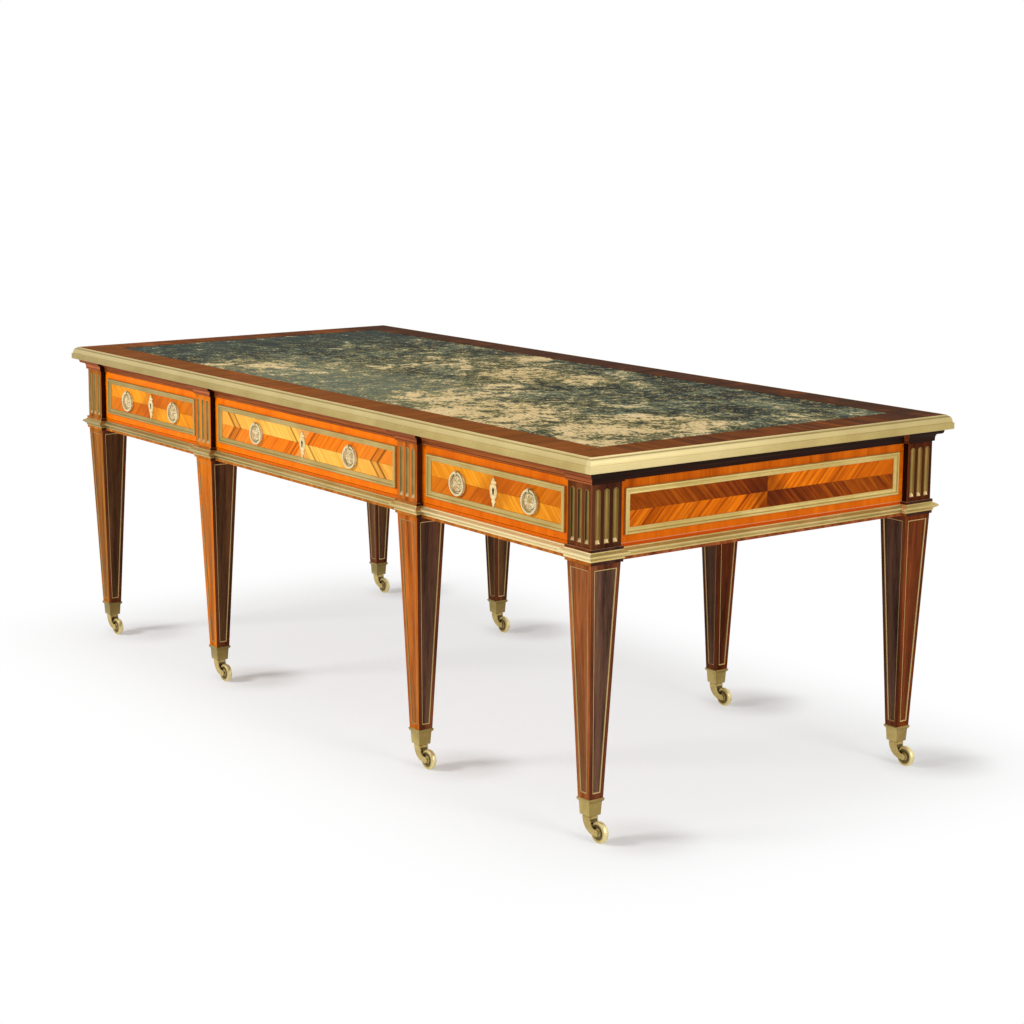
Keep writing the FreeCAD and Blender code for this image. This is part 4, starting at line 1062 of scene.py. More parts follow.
def edge_profile():
    low, top = heights("top_edge_moulding")
    wide, bead, band_top = 0.014, 0.0032, low + 0.0145
    broad = (wide - 0.0026 - bead, top - 0.0024 - band_top)
    profile = [(BACKING, low), (wide - 0.0008, low), (wide, low + 0.0012), (wide, band_top - 0.0006)]
    profile += [(wide - 0.0006, band_top)] + arc((bead, band_top), broad, 0, 90, 14)
    round_bead = arc((bead / 2, top - bead / 2), (bead / 2, bead / 2), 0, 180, 10)
    return profile + round_bead + [(BACKING, top - bead / 2)]


def cornice_profile():
    low, top = heights("cornice_moulding")
    lean, ledge, bed_top = 0.0035, 0.005, low + CORNICE_BED
    hollow_out = CORNICE_OUT - lean - ledge
    hollow = (hollow_out - CORNICE_BED, top - CORNICE_FACE - bed_top)
    profile = [(BACKING, top), (BACKING, low), (CORNICE_BED, low)]
    profile += arc((hollow_out, bed_top), hollow, 180, 90, 12)
    return profile + arc((CORNICE_OUT - lean, top), (lean, CORNICE_FACE), 270, 360, 12)


def base_profile():
    low, top = heights("base_moulding")
    out, nose, nose_at, flat, bead = 0.0135, 0.0028, 0.011, 0.0045, (0.001, 0.0018)
    profile = [(BACKING, low), (flat, low)] + arc((flat, low + bead[1]), bead, -90, 90, 8)
    profile += arc((out - nose, low + nose_at), (nose, nose), -60, 60, 10)
    return profile + [(flat, top - 0.002), (flat, top), (BACKING, top)]


def apron_loop():
    """The plan of the apron, with a break forward at every leg."""
    out_x, out_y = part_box("corner_legs")[1].xy
    face_x, face_y = panel_x, panel_y
    in_x, in_y = out_x - 2 * block_half, out_y - 2 * block_half
    far, near = middle_axis.x + block_half, middle_axis.x - block_half
    front = [(-out_x, -out_y), (-in_x, -out_y), (-in_x, -face_y), (-far, -face_y)]
    front += [(-far, -out_y), (-near, -out_y), (-near, -face_y)]
    front += [(-x, y) for x, y in reversed(front)]
    right = [(out_x, -in_y), (face_x, -in_y), (face_x, in_y), (out_x, in_y)]
    return front + right + [(-x, -y) for x, y in front] + [(-x, -y) for x, y in right]


def moulding(name, profile, loop, material, slot, node):
    shape = bmesh.new()
    carried(shape, eased(profile), loop, upright)
    return new_piece(name, shape, material, "desk", slot, node)


board = rectangle((-half_x, -half_y), (half_x, half_y))
moulding("brass_top_edge", edge_profile(), board, edge_brass, "brass", "top_edge_moulding")
moulding("kingwood_cornice", cornice_profile(), apron_loop(), moulding_wood, "kingwood", "cornice_moulding")
moulding("brass_apron_base", base_profile(), apron_loop(), brass, "brass", "base_moulding")

# %% [markdown]
# A narrower moulding frames each drawer and panel: a fine bead against the wood, a hollow, a
# crest and a rounded back. It is the same carried profile, stood up against the face.


# %% Frames of drawers and panels
def frame_profile():
    profile = [(0, BACKING)] + arc((0.0018, 0.0006), (0.0018, 0.0018), 170, 30, 8)
    profile += arc((0.0037, 0.006), (0.0055, 0.0043), 270, 360, 8) + [(0.0116, 0.006)]
    return profile + arc((0.0116, 0.0036), (0.0024, 0.0024), 90, 0, 6) + [(FRAME_WIDTH, BACKING)]


def framed(shape, centre, reach, place):
    """One frame round the field of the given half size."""
    (u, v), (wide, tall) = centre, reach
    loop = rectangle((u - wide, v - tall), (u + wide, v + tall))
    carried(shape, eased(frame_profile(), 0.0003), loop, place)


panels = bmesh.new()
for side in sides:
    drawer, shape = f"{side}_drawer", bmesh.new()
    framed(shape, *fields[side], lambda u, v, rise: (u, -panel_y - rise, v))
    new_piece(f"{drawer}_brass_frame", shape, frame_brass, drawer, "brass", f"{drawer}_frame")
    framed(panels, *fields[side], lambda u, v, rise: (-u, panel_y + rise, v))
framed(panels, *fields["end"], lambda u, v, rise: (panel_x + rise, u, v))
framed(panels, *fields["end"], lambda u, v, rise: (-panel_x - rise, -u, v))
new_piece("brass_panel_frames", panels, frame_brass, "desk", "brass", "panel_frames")

# %% [markdown]
# ## Brass lines of the legs
# Each sunk panel of a leg is lined with a thin brass strip whose inner edge is bevelled down to
# the wood. Seen from a corner, the far strip shows its bright bevel and the near one only its thin
# top. Again a profile is carried, this time round a tapered loop on the leaning face of a leg.


# %% Lines in the legs
rows_of_legs = (-corner_axis.x, -middle_axis.x, middle_axis.x, corner_axis.x)
leg_axes = [(x, y) for x in rows_of_legs for y in (-corner_axis.y, corner_axis.y)]
LINE_PROFILE = [(0, 0.0001), (-0.0009, 0.0001), (-LINE_WIDTH, -0.00145), (0, -0.00145)]


def leg_half(z):
    rise = (z - sabot_high) / (apron_low - sabot_high)
    return LEG_FOOT_HALF + rise * (LEG_TOP_HALF - LEG_FOOT_HALF)


def about(axis, quarter_turns):
    return Matrix.Translation((*axis, 0)) @ Matrix.Rotation(quarter_turns * math.pi / 2, 4, "Z")


lines = bmesh.new()
line_low, line_high = stringing_low.z, stringing_high.z
foot, head = (leg_half(z) - PANEL_INSET for z in (line_low, line_high))
line_loop = [(-foot, line_low), (foot, line_low), (head, line_high), (-head, line_high)]
for axis in leg_axes:
    for turns in range(4):
        face = about(axis, turns)
        carried(lines, LINE_PROFILE, line_loop, lambda u, v, rise: face @ Vector((u, -leg_half(v) - rise, v)))
new_piece("leg_brass_lines", lines, line_brass, "desk", "brass", "leg_stringing")

# %% [markdown]
# ## Trees that repeat a shape
# What repeats is grown by Geometry Nodes: one small mesh, a few points, and an instance on each.
# The instances are made real and dressed inside the tree, and the result is kept as a plain mesh.


# %% Growing a mesh
def new_tree(name, **inputs):
    """A tree with a mesh and named inputs; returns the tree and a wire to its mesh."""
    tree = bpy.data.node_groups.new(name, "GeometryNodeTree")
    tree.interface.new_socket("Shape", in_out="INPUT", socket_type="NodeSocketGeometry")
    for label, kind in inputs.items():
        tree.interface.new_socket(label, in_out="INPUT", socket_type=kind)
    tree.interface.new_socket("Shape", in_out="OUTPUT", socket_type="NodeSocketGeometry")
    return tree, Wire(tree.nodes.new("NodeGroupInput").outputs["Shape"])


def end_tree(tree, instances, material):
    real = instances.node("GeometryNodeRealizeInstances", sockets={0: instances})
    dressed = real.node("GeometryNodeSetMaterial", sockets={"Geometry": real, "Material": material})
    tree.links.new(dressed.socket, tree.nodes.new("NodeGroupOutput").inputs["Shape"])


def grown(name, seed_mesh, tree, **values):
    """The plain mesh that a tree makes of a small mesh."""
    carrier = bpy.data.objects.new(name, seed_mesh)
    scene.collection.objects.link(carrier)
    modifier = carrier.modifiers.new(name, "NODES")
    modifier.node_group = tree
    for item in tree.interface.items_tree:
        if item.in_out == "INPUT" and item.name in values:
            modifier[item.identifier] = values[item.name]
    view = bpy.context.evaluated_depsgraph_get()
    mesh = bpy.data.meshes.new_from_object(carrier.evaluated_get(view), depsgraph=view)
    carrier.modifiers.remove(modifier)
    bpy.data.objects.remove(carrier)
    print(name, "grown to", len(mesh.polygons), "faces")
    return mesh


def copies(mesh, places):
    """One bmesh with a copy of a mesh at each of the given matrices."""
    shape = bmesh.new()
    for place in places:
        copy = mesh.copy()
        copy.transform(place)
        shape.from_mesh(copy)
        bpy.data.meshes.remove(copy)
    return shape


# %% [markdown]
# ## Flutes
# Three brass-lined flutes stand on each outer face of a leg's block: a half-round channel with a
# round head and a sloping ledge at its foot. One flute is a grid of points whose depth follows a
# half circle; a short line of three points carries it across the face. One side of every channel
# is painted dark, as painted shade and reflection, most of all at the right end, where the flutes
# are browner too, and each sloping ledge carries a painted highlight.

# %% Flutes
def flute_metal(name):
    finish = metal(name, (186, 164, 100), (160, 138, 78), (96, 74, 34), cloud=30.0, dirt=0.4)
    x, y, _ = split(finish.place)
    facing_x, facing_y, facing_z = split(finish.place["Normal"])
    diagonal = corner_axis.x + corner_axis.y
    at_end = step(abs(x) - abs(y), diagonal - 0.001, diagonal + 0.001)
    front_side = step(facing_x * y.sign(), -0.8, -0.35)
    end_side = 1 - step(facing_y * x.sign(), -0.15, 0.3)
    # Painted shade and reflection: one side of each channel is painted dark and less metallic, most of all at
    # the right end.
    painted_dark_side = 1 - (front_side + (end_side - front_side) * at_end)
    painted_dark_side = painted_dark_side * (0.16 + 0.72 * step(x, 0.7, 0.8))
    ledge = step(facing_z, 0.1, 0.35)
    finish.wash(
        # Browner at the right end.
        (step(x, 0.7, 0.8) * 0.6, (142, 108, 38)),
        (painted_dark_side * (1 - ledge), (38, 24, 5)),
        # A painted highlight on the sloping ledge at each foot.
        (ledge * 0.65, (236, 206, 158)),
    )
    finish.feed("Metallic", 0.72 - painted_dark_side * 0.55)
    return finish.material


flute_brass = flute_metal("flute_brass")
FLUTE_PITCH, FLUTE_HALF, FLUTE_RIM, FLUTE_DEPTH, FLUTE_BACK = 0.022, 0.0062, 0.0007, 0.0044, 0.0049
FLUTE_PROUD, LEDGE_FROM, LEDGE_TO = -0.0002, 0.0012, 0.0075
flute_low, flute_high = heights("pilaster_flutes")


def flute_row(shape, lean, low, high, depth):
    """One row of points across a flute: the rim at each side and the channel between."""
    wide, narrow = FLUTE_HALF * lean, (FLUTE_HALF - FLUTE_RIM) * lean
    across = [math.cos(math.pi * (1 - i / 12)) for i in range(13)]
    depths = [depth * math.sqrt(max(0, 1 - t * t)) + FLUTE_PROUD for t in across]
    channel = [(narrow * t, sunk, low) for t, sunk in zip(across, depths)]
    points = [(-wide, FLUTE_PROUD, high), *channel, (wide, FLUTE_PROUD, high)]
    return [shape.verts.new(point) for point in points]


def flute():
    shape = bmesh.new()
    spring = flute_high - FLUTE_HALF
    levels = [(flute_low, 0), (flute_low + LEDGE_FROM, 0), (flute_low + LEDGE_TO, FLUTE_DEPTH)]
    rows = [flute_row(shape, 1, z, z, depth) for z, depth in (*levels, (spring, FLUTE_DEPTH))]
    for i in range(1, 9):
        turn = math.pi / 2 * i / 8
        low, high = (spring + reach * math.sin(turn) for reach in (FLUTE_HALF - FLUTE_RIM, FLUTE_HALF))
        rows.append(flute_row(shape, math.cos(turn), low, high, FLUTE_DEPTH * math.cos(turn)))
    skin(shape, rows, rows_meet=False, ends_meet=False)
    bmesh.ops.remove_doubles(shape, verts=shape.verts, dist=1e-5)
    backed(shape, 1, FLUTE_BACK)
    return finished_mesh("flute", shape)


tree, one = new_tree("flutes_across_a_block", Pitch="NodeSocketFloat")
start, offset = joined(-1 * one["Pitch"], 0.0, 0.0), joined(one["Pitch"], 0.0, 0.0)
spaced = {"Count": 3, "Start Location": start, "Offset": offset}
row = one.node("GeometryNodeMeshLine", sockets=spaced)
stood = row.node("GeometryNodeInstanceOnPoints", sockets={"Points": row, "Instance": one})
end_tree(tree, stood, flute_brass)
three_flutes = grown("three_flutes", flute(), tree, Pitch=FLUTE_PITCH)
three_flutes.transform(Matrix.Translation((0, -block_half, 0)))
faces = [about((x, y), 0 if y < 0 else 2) for x, y in leg_axes]
faces += [about((x, y), 1 if x > 0 else -1) for x, y in leg_axes if abs(x) > 1]
new_piece("brass_flutes", copies(three_flutes, faces), flute_brass, "desk", "brass", "pilaster_flutes")

# %% [markdown]
# ## Rosettes, rings and key plates
# The pulls are gilded: a domed rosette of shallow petals, framed by a string of beads, with an eye
# at the top for the ring. A rosette is a disc of points in polar order whose height is a formula
# of radius and angle, so the petals are real relief.


# %% Turned shapes
def lathe(shape, profile, segments, place, closed=False):
    """Turn a profile of (radius, along) about an axis; place sets a point of (across, across, along)."""

    def turned(angle, point):
        radius, along = point
        return place(radius * math.cos(angle), radius * math.sin(angle), along)

    surface(shape, round_angles(segments), profile, turned, ends_meet=closed)


# %% Rosettes
ROSETTE_RADIUS, PULL_STANDOFF, RING_RADIUS, FRONT_THICKNESS = 0.0255, 0.006, 0.0235, 0.022
EYE_INNER, EYE_OUTER, EYE_HALF, EYE_ROUND = 0.003, 0.0051, 0.003, 0.0009
POST_RADIUS, POST_TIP, POST_CHAMFER, POST_END = 0.0024, 0.0018, 0.0026, 0.003
NUT_BORE, NUT_RADIUS, NUT_HEIGHT = 0.0026, 0.0052, 0.0022
BEAD_RADIUS, BEAD_COUNT, BEADS_AT, BEADS_RISE = 0.00085, 40, 0.0187, 0.0026
RIM_HEIGHT, RIM_SWELL, DOME_FOOT, DOME_RISE, GROOVE_DEPTH = 0.0022, 0.0006, 0.0024, 0.006, 0.0011
LET_IN = 0.0002


def rosette_height(radius, angle):
    """Height of the relief above the wood, in metres: a dome of shallow petals inside a rim."""
    outer, dome, boss = 0.0202, 0.0168, 0.005
    if radius >= outer:
        return RIM_HEIGHT
    if radius >= dome:
        return RIM_HEIGHT + RIM_SWELL * math.sin(math.pi * (radius - dome) / (outer - dome))
    share = max(0, (radius - boss) / (dome - boss))
    groove = (1 - abs(math.sin(4 * angle))) ** 2 * math.sin(math.pi * share)
    return DOME_FOOT + DOME_RISE * math.sqrt(1 - (radius / dome) ** 2) - GROOVE_DEPTH * groove


def rosette_point(angle, share):
    """A point of the relief; a share past 1 is the foot of the rim, a hair inside the wood."""
    radius = ROSETTE_RADIUS * min(1, share)
    height = rosette_height(radius, angle) if share <= 1 else -LET_IN
    return (radius * math.cos(angle), -height, radius * math.sin(angle))


def rosette():
    """One rosette with its eye, post and nut, at the origin and looking to -Y."""
    shape = bmesh.new()
    surface(shape, round_angles(96), [i / 30 for i in range(32)], rosette_point, ends_meet=False)
    bmesh.ops.remove_doubles(shape, verts=shape.verts, dist=1e-6)
    bmesh.ops.edgeloop_fill(shape, edges=rim_of(shape))
    eye = eased(rectangle((EYE_INNER, -EYE_HALF), (EYE_OUTER, EYE_HALF)), EYE_ROUND, 4)
    lathe(shape, eye, 28, lambda u, v, w: (w, u - PULL_STANDOFF, v + RING_RADIUS), closed=True)
    back = FRONT_THICKNESS
    post = [(0, 0.0), (POST_RADIUS, 0.0), (POST_RADIUS, back + POST_CHAMFER)]
    post += [(POST_TIP, back + POST_END), (0, back + POST_END)]
    lathe(shape, post, 16, lambda u, v, w: (u, w, v))
    nut = rectangle((NUT_BORE, back), (NUT_RADIUS, back + NUT_HEIGHT))
    lathe(shape, nut, 6, lambda u, v, w: (u, w, v), closed=True)
    return finished_mesh("rosette", shape, FINE_BEND_GAIN)


def bead():
    shape = bmesh.new()
    bmesh.ops.create_icosphere(shape, subdivisions=1, radius=BEAD_RADIUS)
    return finished_mesh("bead", shape)


tree, one = new_tree("string_of_beads", Count="NodeSocketInt", Radius="NodeSocketFloat")
circle = one.node("GeometryNodeMeshCircle", sockets={"Vertices": one["Count"], "Radius": one["Radius"]})
strung = circle.node("GeometryNodeInstanceOnPoints", sockets={"Points": circle, "Instance": one})
end_tree(tree, strung, gilt)
beads = grown("string_of_beads", bead(), tree, Count=BEAD_COUNT, Radius=BEADS_AT)
beads.transform(Matrix.Translation((0, -BEADS_RISE, 0)) @ Matrix.Rotation(math.pi / 2, 4, "X"))
whole = copies(rosette(), [Matrix.Identity(4)])
whole.from_mesh(beads)
rosette_mesh = finished_mesh("rosette_with_beads", whole, FINE_BEND_GAIN)

# %% [markdown]
# The ring is a wire bent round, chased with leaves that lap one over the next. It stays plain and
# round where it passes through the eye, so that it can swing.


# %% Rings
WIRE_RADIUS, LEAVES, CHASED_DEPTH = 0.0025, 26, 0.2


def ring_point(angle, turn):
    """A point of the wire: angle goes round the ring, turn round the wire."""
    chased = min(1, abs(math.remainder(angle - math.pi / 2, 2 * math.pi)) * 2.2 - 0.55)
    lap = 0.5 + 0.5 * math.cos(LEAVES * angle + 1.5 * abs(math.remainder(turn, 2 * math.pi)))
    radius = WIRE_RADIUS * (1 - CHASED_DEPTH * max(0, chased) * lap**2)
    out = RING_RADIUS + radius * math.cos(turn)
    return (out * math.cos(angle), radius * math.sin(turn), out * math.sin(angle))


def pull_ring():
    """A ring at the origin, in the plane of the drawer front, with its eye at the top."""
    shape = bmesh.new()
    surface(shape, round_angles(144), round_angles(14), ring_point)
    return finished_mesh("pull_ring", shape, FINE_BEND_GAIN)


ring_mesh = pull_ring()
eyes = {joint["child"]: Vector(joint["pos_m"]) for joint in frame["joints"] if "_swing" in joint["name"]}
for side in sides:
    pulls = []
    for hand in ("left", "right"):
        node = f"{side}_drawer_ring_{hand}"
        centre = eyes[node] - Vector((0, 0, RING_RADIUS))
        mesh = ring_mesh.copy()
        mesh.transform(Matrix.Translation(centre))
        place_piece(f"{side}_{hand}_laurel_ring", mesh, gilt, node, "gilt", node)
        pulls.append(Matrix.Translation((centre.x, -panel_y, centre.z)))
    drawer, shape = f"{side}_drawer", copies(rosette_mesh, pulls)
    plates = f"{drawer}_pull_plates"
    new_piece(f"{drawer}_rosettes", shape, rose_gilt, drawer, "gilt", plates, gain=FINE_BEND_GAIN)

# %% [markdown]
# The key plate is a small cast cartouche with a leaf above and a drop below. It could be cut from a
# sheet with a boolean, but a row of points at every height, from the keyhole out to the outline,
# leaves the keyhole open and lets the face rise and fall as a relief.

# %% Rows of a key plate
KEY_THICKNESS, KEY_EDGE = 0.003, 0.0011
KEY_ROUND, KEY_ROUND_AT, KEY_SLOT, KEY_FOOT = 0.004, 0.0056, 0.0027, -0.0048
KEY_BODY = (-0.0148, 0.0178)
KEY_FACE, KEY_FACE_REACH = 0.0026, 0.4
KEY_OUTLINE = [  # height and half width, in millimetres
    (30, 0.8), (29, 2.6), (27.6, 3.6), (26.2, 3.6), (25.2, 3.4), (24.4, 5), (23.4, 7.2), (22, 8.8),
    (20.4, 9.2), (19.2, 8.4), (18.2, 7.4), (17.4, 7.2), (16.4, 8), (15, 9.2), (13.2, 10.2), (10.8, 11),
    (7.6, 11.6), (4, 11.75), (0, 11.6), (-3.6, 11), (-7.2, 9.9), (-10.4, 8.4), (-13, 6.8), (-14.8, 5.8),
    (-16, 5.6), (-17.2, 6.4), (-18.6, 7), (-20, 6.6), (-21.4, 5.4), (-22.6, 4), (-24, 3.4), (-25.4, 3.5),
    (-26.8, 3), (-28.4, 2), (-30, 0.6),
]
KEY_ACROSS = [  # share of the way from the keyhole to the edge, and height there
    (0, 0.0026), (0.12, 0.0028), (0.26, 0.0028), (0.42, 0.0026), (0.62, 0.0026), (0.8, 0.003), (0.92, 0.0026),
]


def key_half_width(z):
    """Half width of the plate at a height."""
    for (high, near), (low, far) in zip(KEY_OUTLINE, KEY_OUTLINE[1:]):
        if low / 1000 <= z + 1e-9:
            return (far + (near - far) * (z * 1000 - low) / (high - low)) / 1000
    return KEY_OUTLINE[-1][1] / 1000


def keyhole_half_width(z):
    """Half width of the keyhole at a height, and zero where there is none."""
    round_part = math.sqrt(max(0, KEY_ROUND**2 - (z - KEY_ROUND_AT) ** 2))
    slot = KEY_SLOT if KEY_FOOT <= z <= KEY_ROUND_AT else 0
    return max(round_part, slot)


def key_row(z):
    """Half a row across the plate: points from the keyhole, or the middle, out to the edge."""
    hole, wide = keyhole_half_width(z), key_half_width(z)
    low, high = KEY_BODY
    points = [(hole, 0.0)]
    for share, height in KEY_ACROSS:
        if not low < z < high:
            height = KEY_EDGE + (KEY_THICKNESS - KEY_EDGE) * math.sqrt(1 - share * share)
        elif not hole and share < KEY_FACE_REACH:
            height = KEY_FACE
        points.append((hole + (wide - hole) * share, height))
    return points + [(wide, KEY_EDGE), (wide, 0.0)]


# %% Key plates
def key_plate():
    """One key plate at the origin, looking to -Y."""
    shape = bmesh.new()
    hole_top = KEY_ROUND_AT + KEY_ROUND
    levels = {z / 1000 for z, _ in KEY_OUTLINE} | {hole_top, KEY_FOOT, KEY_FOOT - 0.0002}
    levels |= {KEY_ROUND_AT + KEY_ROUND * math.cos(math.pi * i / 12) for i in range(1, 9)}
    levels = sorted(levels, reverse=True)
    for hand in (-1, 1):
        rows = [[shape.verts.new((hand * x, -height, z)) for x, height in key_row(z)] for z in levels]
        for (high, near), (low, far) in zip(zip(levels, rows), zip(levels[1:], rows[1:])):
            bored = keyhole_half_width(high) or keyhole_half_width(low)
            for j in range(len(near)):
                if j == 1 and not bored:
                    continue
                shape.faces.new((near[j - 1], near[j], far[j], far[j - 1]))
        for row in (rows[0], rows[-1]):
            shape.faces.new(row)
    return finished_mesh("key_plate", shape, FINE_BEND_GAIN)


key_mesh = key_plate()
for side in sides:
    drawer, mesh = f"{side}_drawer", key_mesh.copy()
    at = centre_of(f"{drawer}_escutcheon")
    mesh.transform(Matrix.Translation((at.x, -panel_y, at.z)))
    place_piece(f"{drawer}_key_plate", mesh, key_gilt, drawer, "gilt", f"{drawer}_escutcheon")

# %% [markdown]
# ## Feet
# Each leg ends in a square brass sabot with a moulded lip, and under it a caster: a horn that
# swings round on its stem and a turned wheel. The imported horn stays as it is. A sabot is turned
# like a bowl, only round a square.

# %% Sabots
SABOT_ROUND = 0.0007


def square_turned(shape, profile, axis):
    """A closed profile of (half side, z) round a square with rounded corners."""

    def corner_point(point, index):
        half_side, z = point
        quarter, part = divmod(index, 4)
        soft = min(SABOT_ROUND, half_side / 4)
        angle, way = math.pi / 2 * (quarter + part / 3), math.pi / 2 * quarter + math.pi / 4
        flat = (half_side - soft) * math.sqrt(2)
        x = flat * math.cos(way) + soft * math.cos(angle)
        y = flat * math.sin(way) + soft * math.sin(angle)
        return (axis[0] + x, axis[1] + y, z)

    surface(shape, profile, range(16), corner_point)


def sabot_profile():
    low, high = heights("sabots")
    lip = 0.0205
    foot = low - 0.0026
    profile = [(0.0102, foot), (0.0142, foot), (0.015, foot + 0.0008), (0.0164, high - 0.0092)]
    profile += [(0.0169, high - 0.0086), (0.0169, high - 0.0078)]
    profile += arc((0.0172, high - 0.0046), (0.0022, 0.0024), 270, 350, 5)
    profile += [(lip - 0.0007, high - 0.0036)] + arc((lip - 0.001, high - 0.0022), (0.001, 0.001), -60, 90, 6)
    socket = [(0.0188, high), (0.0125, high), (0.0125, low + 0.006), (0.0045, low + 0.006)]
    return profile + socket + [(0.0045, low), (0.0102, low)]


feet = bmesh.new()
for axis in leg_axes:
    square_turned(feet, sabot_profile(), axis)
new_piece("brass_sabots", feet, foot_brass, "desk", "brass", "sabots")


# %% Wheels
def wheel_profile():
    side = [(0.0032, -0.0073), (0.0034, -0.0075), (0.0062, -0.0075), (0.007, -0.0069), (0.0076, -0.0058)]
    side += [(0.009, -0.005), (0.0146, -0.005), (0.016, -0.0058), (0.0168, -0.0067), (0.0182, -0.0069)]
    tread = arc((0.0184, 0), (0.0036, 0.0069), -80, 80, 16)
    return side + tread + [(r, -along) for r, along in reversed(side)]


for name in [name for name in nodes if name.endswith("_wheel")]:
    at, shape = centre_of(name), bmesh.new()
    lathe(shape, wheel_profile(), 48, lambda u, v, w: (at.x + u, at.y + w, at.z + v), closed=True)
    new_piece(name.replace("_wheel", "_roller"), shape, wheel_brass, name, "brass", name)

# %% [markdown]
# ## Screws of the locks
# Behind each drawer front four slotted screws hold the lock. A head is a shallow dome cut by a
# slot, made as columns of points: two columns at each side of the slot stand one above the other.
# A grid of two by two points carries it, and a seeded turn leaves each slot as the driver left it.

# %% Screws
SCREW_RADIUS, SCREW_HEIGHT, SLOT_HALF, SLOT_DEPTH = 0.0034, 0.0011, 0.0005, 0.0008
SCREW_SPREAD, SCREW_SUNK, SCREW_DOME, FIRST_SEED = (0.048, 0.064), -0.0003, 0.6, 3


def screw_point(column, share):
    u, sunk = column
    v = math.sqrt(SCREW_RADIUS**2 - u * u) * share
    rise = SCREW_HEIGHT * (1 - SCREW_DOME * (u * u + v * v) / SCREW_RADIUS**2)
    return (u, v, rise - (SLOT_DEPTH if sunk else 0))


def screw_head():
    """One head at the origin, standing on the XY plane."""
    shape = bmesh.new()
    half = [(SLOT_HALF, True), (SLOT_HALF, False)]
    half += [(SCREW_RADIUS * share, False) for share in (0.45, 0.75, 0.97)]
    columns = [(-u, sunk) for u, sunk in reversed(half)] + half
    surface(shape, columns, (-1, -0.7, 0, 0.7, 1), screw_point, rows_meet=False, ends_meet=False)
    backed(shape, 2, SCREW_SUNK)
    return finished_mesh("screw_head", shape)


tree, one = new_tree("screws_of_a_lock", Wide="NodeSocketFloat", Tall="NodeSocketFloat", Seed="NodeSocketInt")
grid = {"Size X": one["Wide"], "Size Y": one["Tall"], "Vertices X": 2, "Vertices Y": 2}
corners = one.node("GeometryNodeMeshGrid", sockets=grid)
turns = one.node("FunctionNodeRandomValue", {"data_type": "FLOAT"}, {"Seed": one["Seed"]}, output="Value")
turns.socket.node.inputs[3].default_value = math.pi
held = {"Points": corners, "Instance": one, "Rotation": joined(0.0, 0.0, turns)}
driven = corners.node("GeometryNodeInstanceOnPoints", sockets=held)
end_tree(tree, driven, iron)
for number, side in enumerate(sides):
    wide, tall = SCREW_SPREAD
    mesh = grown(f"{side}_screws", screw_head(), tree, Wide=wide, Tall=tall, Seed=number + FIRST_SEED)
    at = centre_of(f"{side}_drawer_lock")
    at.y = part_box(f"{side}_drawer_lock")[1].y
    mesh.transform(Matrix.Translation(at) @ Matrix.Rotation(-math.pi / 2, 4, "X"))
    place_piece(f"{side}_lock_screws", mesh, iron, f"{side}_drawer", "iron")

# %% [markdown]
# ## Leather
# The writing surface is one hide, dyed dark green and glued into the sunk field. Years of
# sleeves have rubbed the dye off down to the buff skin, most where people sat. Wear of that kind
# has no edge: one map says how rubbed each place is, and a noise of many sizes decides which
# grains there have already lost their dye. The map is a low noise plus a list of rubbed places.

# %% Leather finish
RUBBED = [  # place along and across, reach in metres, and strength
    (-0.5, -0.31, 0.17, 0.8), (-0.28, -0.12, 0.22, 0.5), (-0.27, -0.37, 0.12, 0.3), (-0.27, 0.15, 0.2, 0.55),
    (-0.21, 0.35, 0.11, 0.95), (-0.1, 0.2, 0.2, 0.7), (0.05, 0.14, 0.2, 1.0), (0.2, 0.2, 0.14, 0.9),
    (0.18, -0.08, 0.18, 0.6), (0.27, -0.25, 0.22, 0.85), (0.5, -0.3, 0.27, 1.0), (0.84, -0.1, 0.2, 0.95),
    (0.93, 0.22, 0.1, 0.4), (0.83, -0.21, 0.24, 0.95), (0.92, -0.34, 0.18, 0.9), (0.65, -0.34, 0.18, 0.85),
]

DYE = ((0.41, (0, 4, 0)), (0.5, (26, 42, 38)), (0.59, (84, 98, 82)))
BARE_SKIN = ((0.35, (176, 152, 100)), (0.5, (208, 182, 128)), (0.65, (236, 208, 162)))


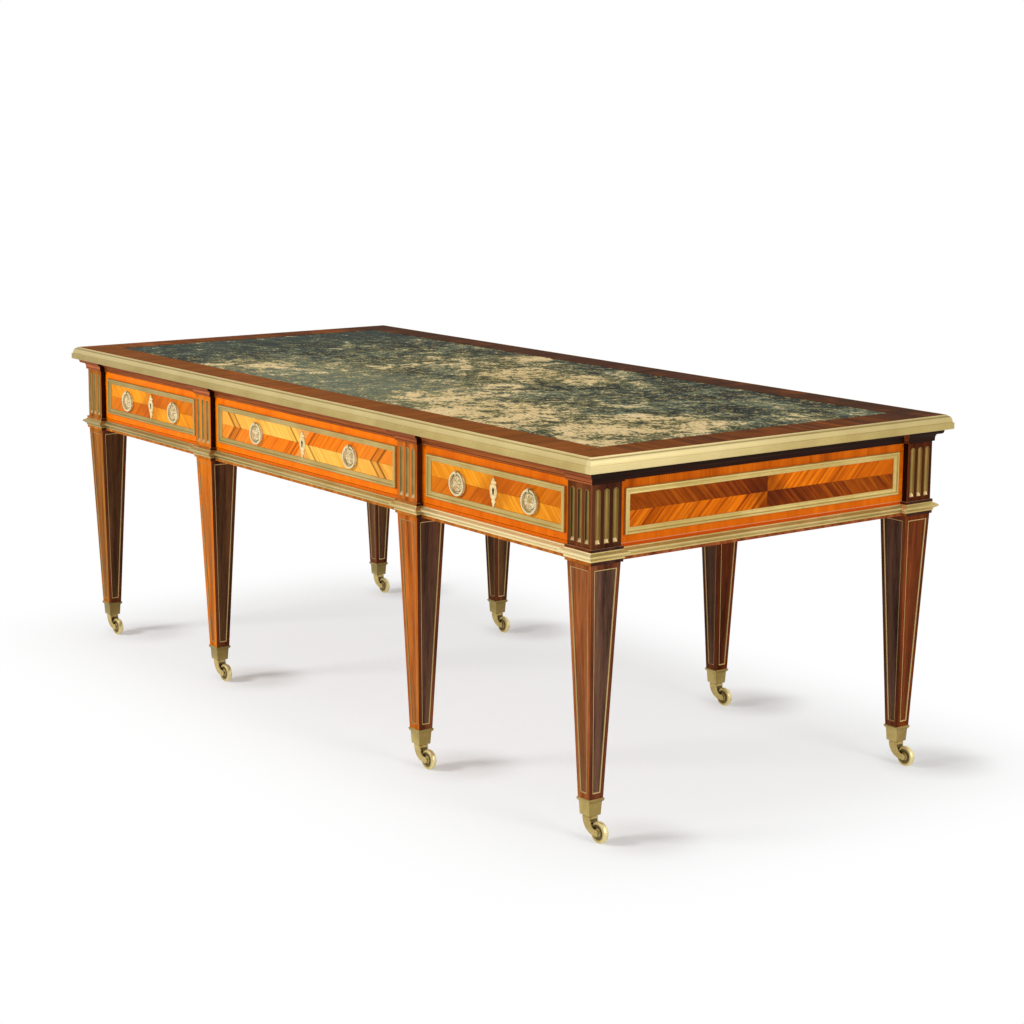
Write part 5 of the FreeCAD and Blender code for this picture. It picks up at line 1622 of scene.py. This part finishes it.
def worn_leather(name):
    finish = Finish(name, Specular_IOR_Level=0.008)
    x, y, _ = split(finish.place)
    flat = joined(x, y, 0.0)
    rubbed = step(noise(flat, 3.0, detail=3), 0.48, 0.72) * 0.5
    for at_x, at_y, reach, depth in RUBBED:
        off_x, off_y = x - at_x, y - at_y
        near = 1 - step(off_x * off_x + off_y * off_y, 0.0, reach * reach)
        rubbed = rubbed.larger(near * depth)
    left = 1 - step(x, -0.95, -0.5)
    rubbed = rubbed * (1 - left * 0.9)
    broad = noise(flat, 9, detail=3, bend=0.8)
    ragged = noise(flat, 38, detail=4, rough=0.6, bend=0.6)
    fine = noise(flat, 150, detail=3, rough=0.6)
    grains = broad * 0.34 + ragged * 0.36 + fine * 0.3
    bared = step(grains + rubbed * 0.12, 0.585, 0.625)
    thin = step(ragged * 0.45 + fine * 0.35 + broad * 0.2 + rubbed * 0.1, 0.47, 0.61)
    curls = 1 - step(abs(noise(flat, 30, detail=2, bend=2.6) - 0.5), 0.003, 0.016)
    seat = (1 - step(abs(y + 0.3), 0.1, 0.3)) * (1 - step(abs(x + 0.1), 0.2, 0.6))
    flecks = step(fine * 0.62 + ragged * 0.38, 0.56, 0.595) * (1 - left * 0.6)
    colour = washed(
        tones(broad * 0.5 + ragged * 0.3 + fine * 0.2, *DYE),
        (seat * 0.55, (106, 114, 94)),
        (left * 0.5, (46, 54, 48)),
        (thin * (0.57 - left * 0.45), (156, 148, 100)),
        (flecks * 0.7, (200, 174, 116)),
        (curls * 0.35 * (1 - left), (160, 150, 110)),
        (bared * 0.92, tones(fine * 0.6 + broad * 0.4, *BARE_SKIN)),
    )
    finish.feed("Base Color", colour)
    finish.feed("Roughness", 0.42 + 0.22 * thin + 0.16 * fine)
    finish.relief(fine * 0.6 + ragged * 0.4 - bared * 0.3, 0.0002)
    return finish.material


# %% [markdown]
# The hide itself is a closed sheet two millimetres thick. Its upper side is a grid of points that
# lies almost flat and dips a little to its edge, where the glue pulled it down.

# %% Leather sheet
LEATHER_COLUMNS, LEATHER_ROWS, COCKLE, EDGE_DIP = 150, 62, 0.00012, 0.0004
COCKLE_MARGIN, DIP_MARGIN = 0.05, 0.012


def hide():
    (low_x, low_y, low_z), (high_x, high_y, high_z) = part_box("leather_inset")

    def upper(j, i):
        x = low_x + (high_x - low_x) * i / LEATHER_COLUMNS
        y = low_y + (high_y - low_y) * j / LEATHER_ROWS
        inset = min(x - low_x, high_x - x, y - low_y, high_y - y)
        cockle = COCKLE * (math.sin(x * 23 + 4 * math.sin(y * 7)) * math.sin(y * 31 + x * 3) - 1) / 2
        top = high_z + cockle * min(1, inset / COCKLE_MARGIN)
        return (x, y, top - EDGE_DIP * max(0, 1 - inset / DIP_MARGIN))

    def under(j, i):
        return (*upper(j, i)[:2], low_z)

    shape = bmesh.new()
    rims = []
    for place in (upper, under):
        rows = surface(shape, range(LEATHER_ROWS + 1), range(LEATHER_COLUMNS + 1), place, False, False)
        right, left = [row[-1] for row in rows[1:]], [row[0] for row in rows[-2:0:-1]]
        rims.append(rows[0] + right + rows[-1][-2::-1] + left)
    skin(shape, rims, rows_meet=False)
    return shape


hide_finish = worn_leather("worn_green_leather")
leather = new_piece("leather_writing_surface", hide(), hide_finish, "desk", "leather", "leather_inset")
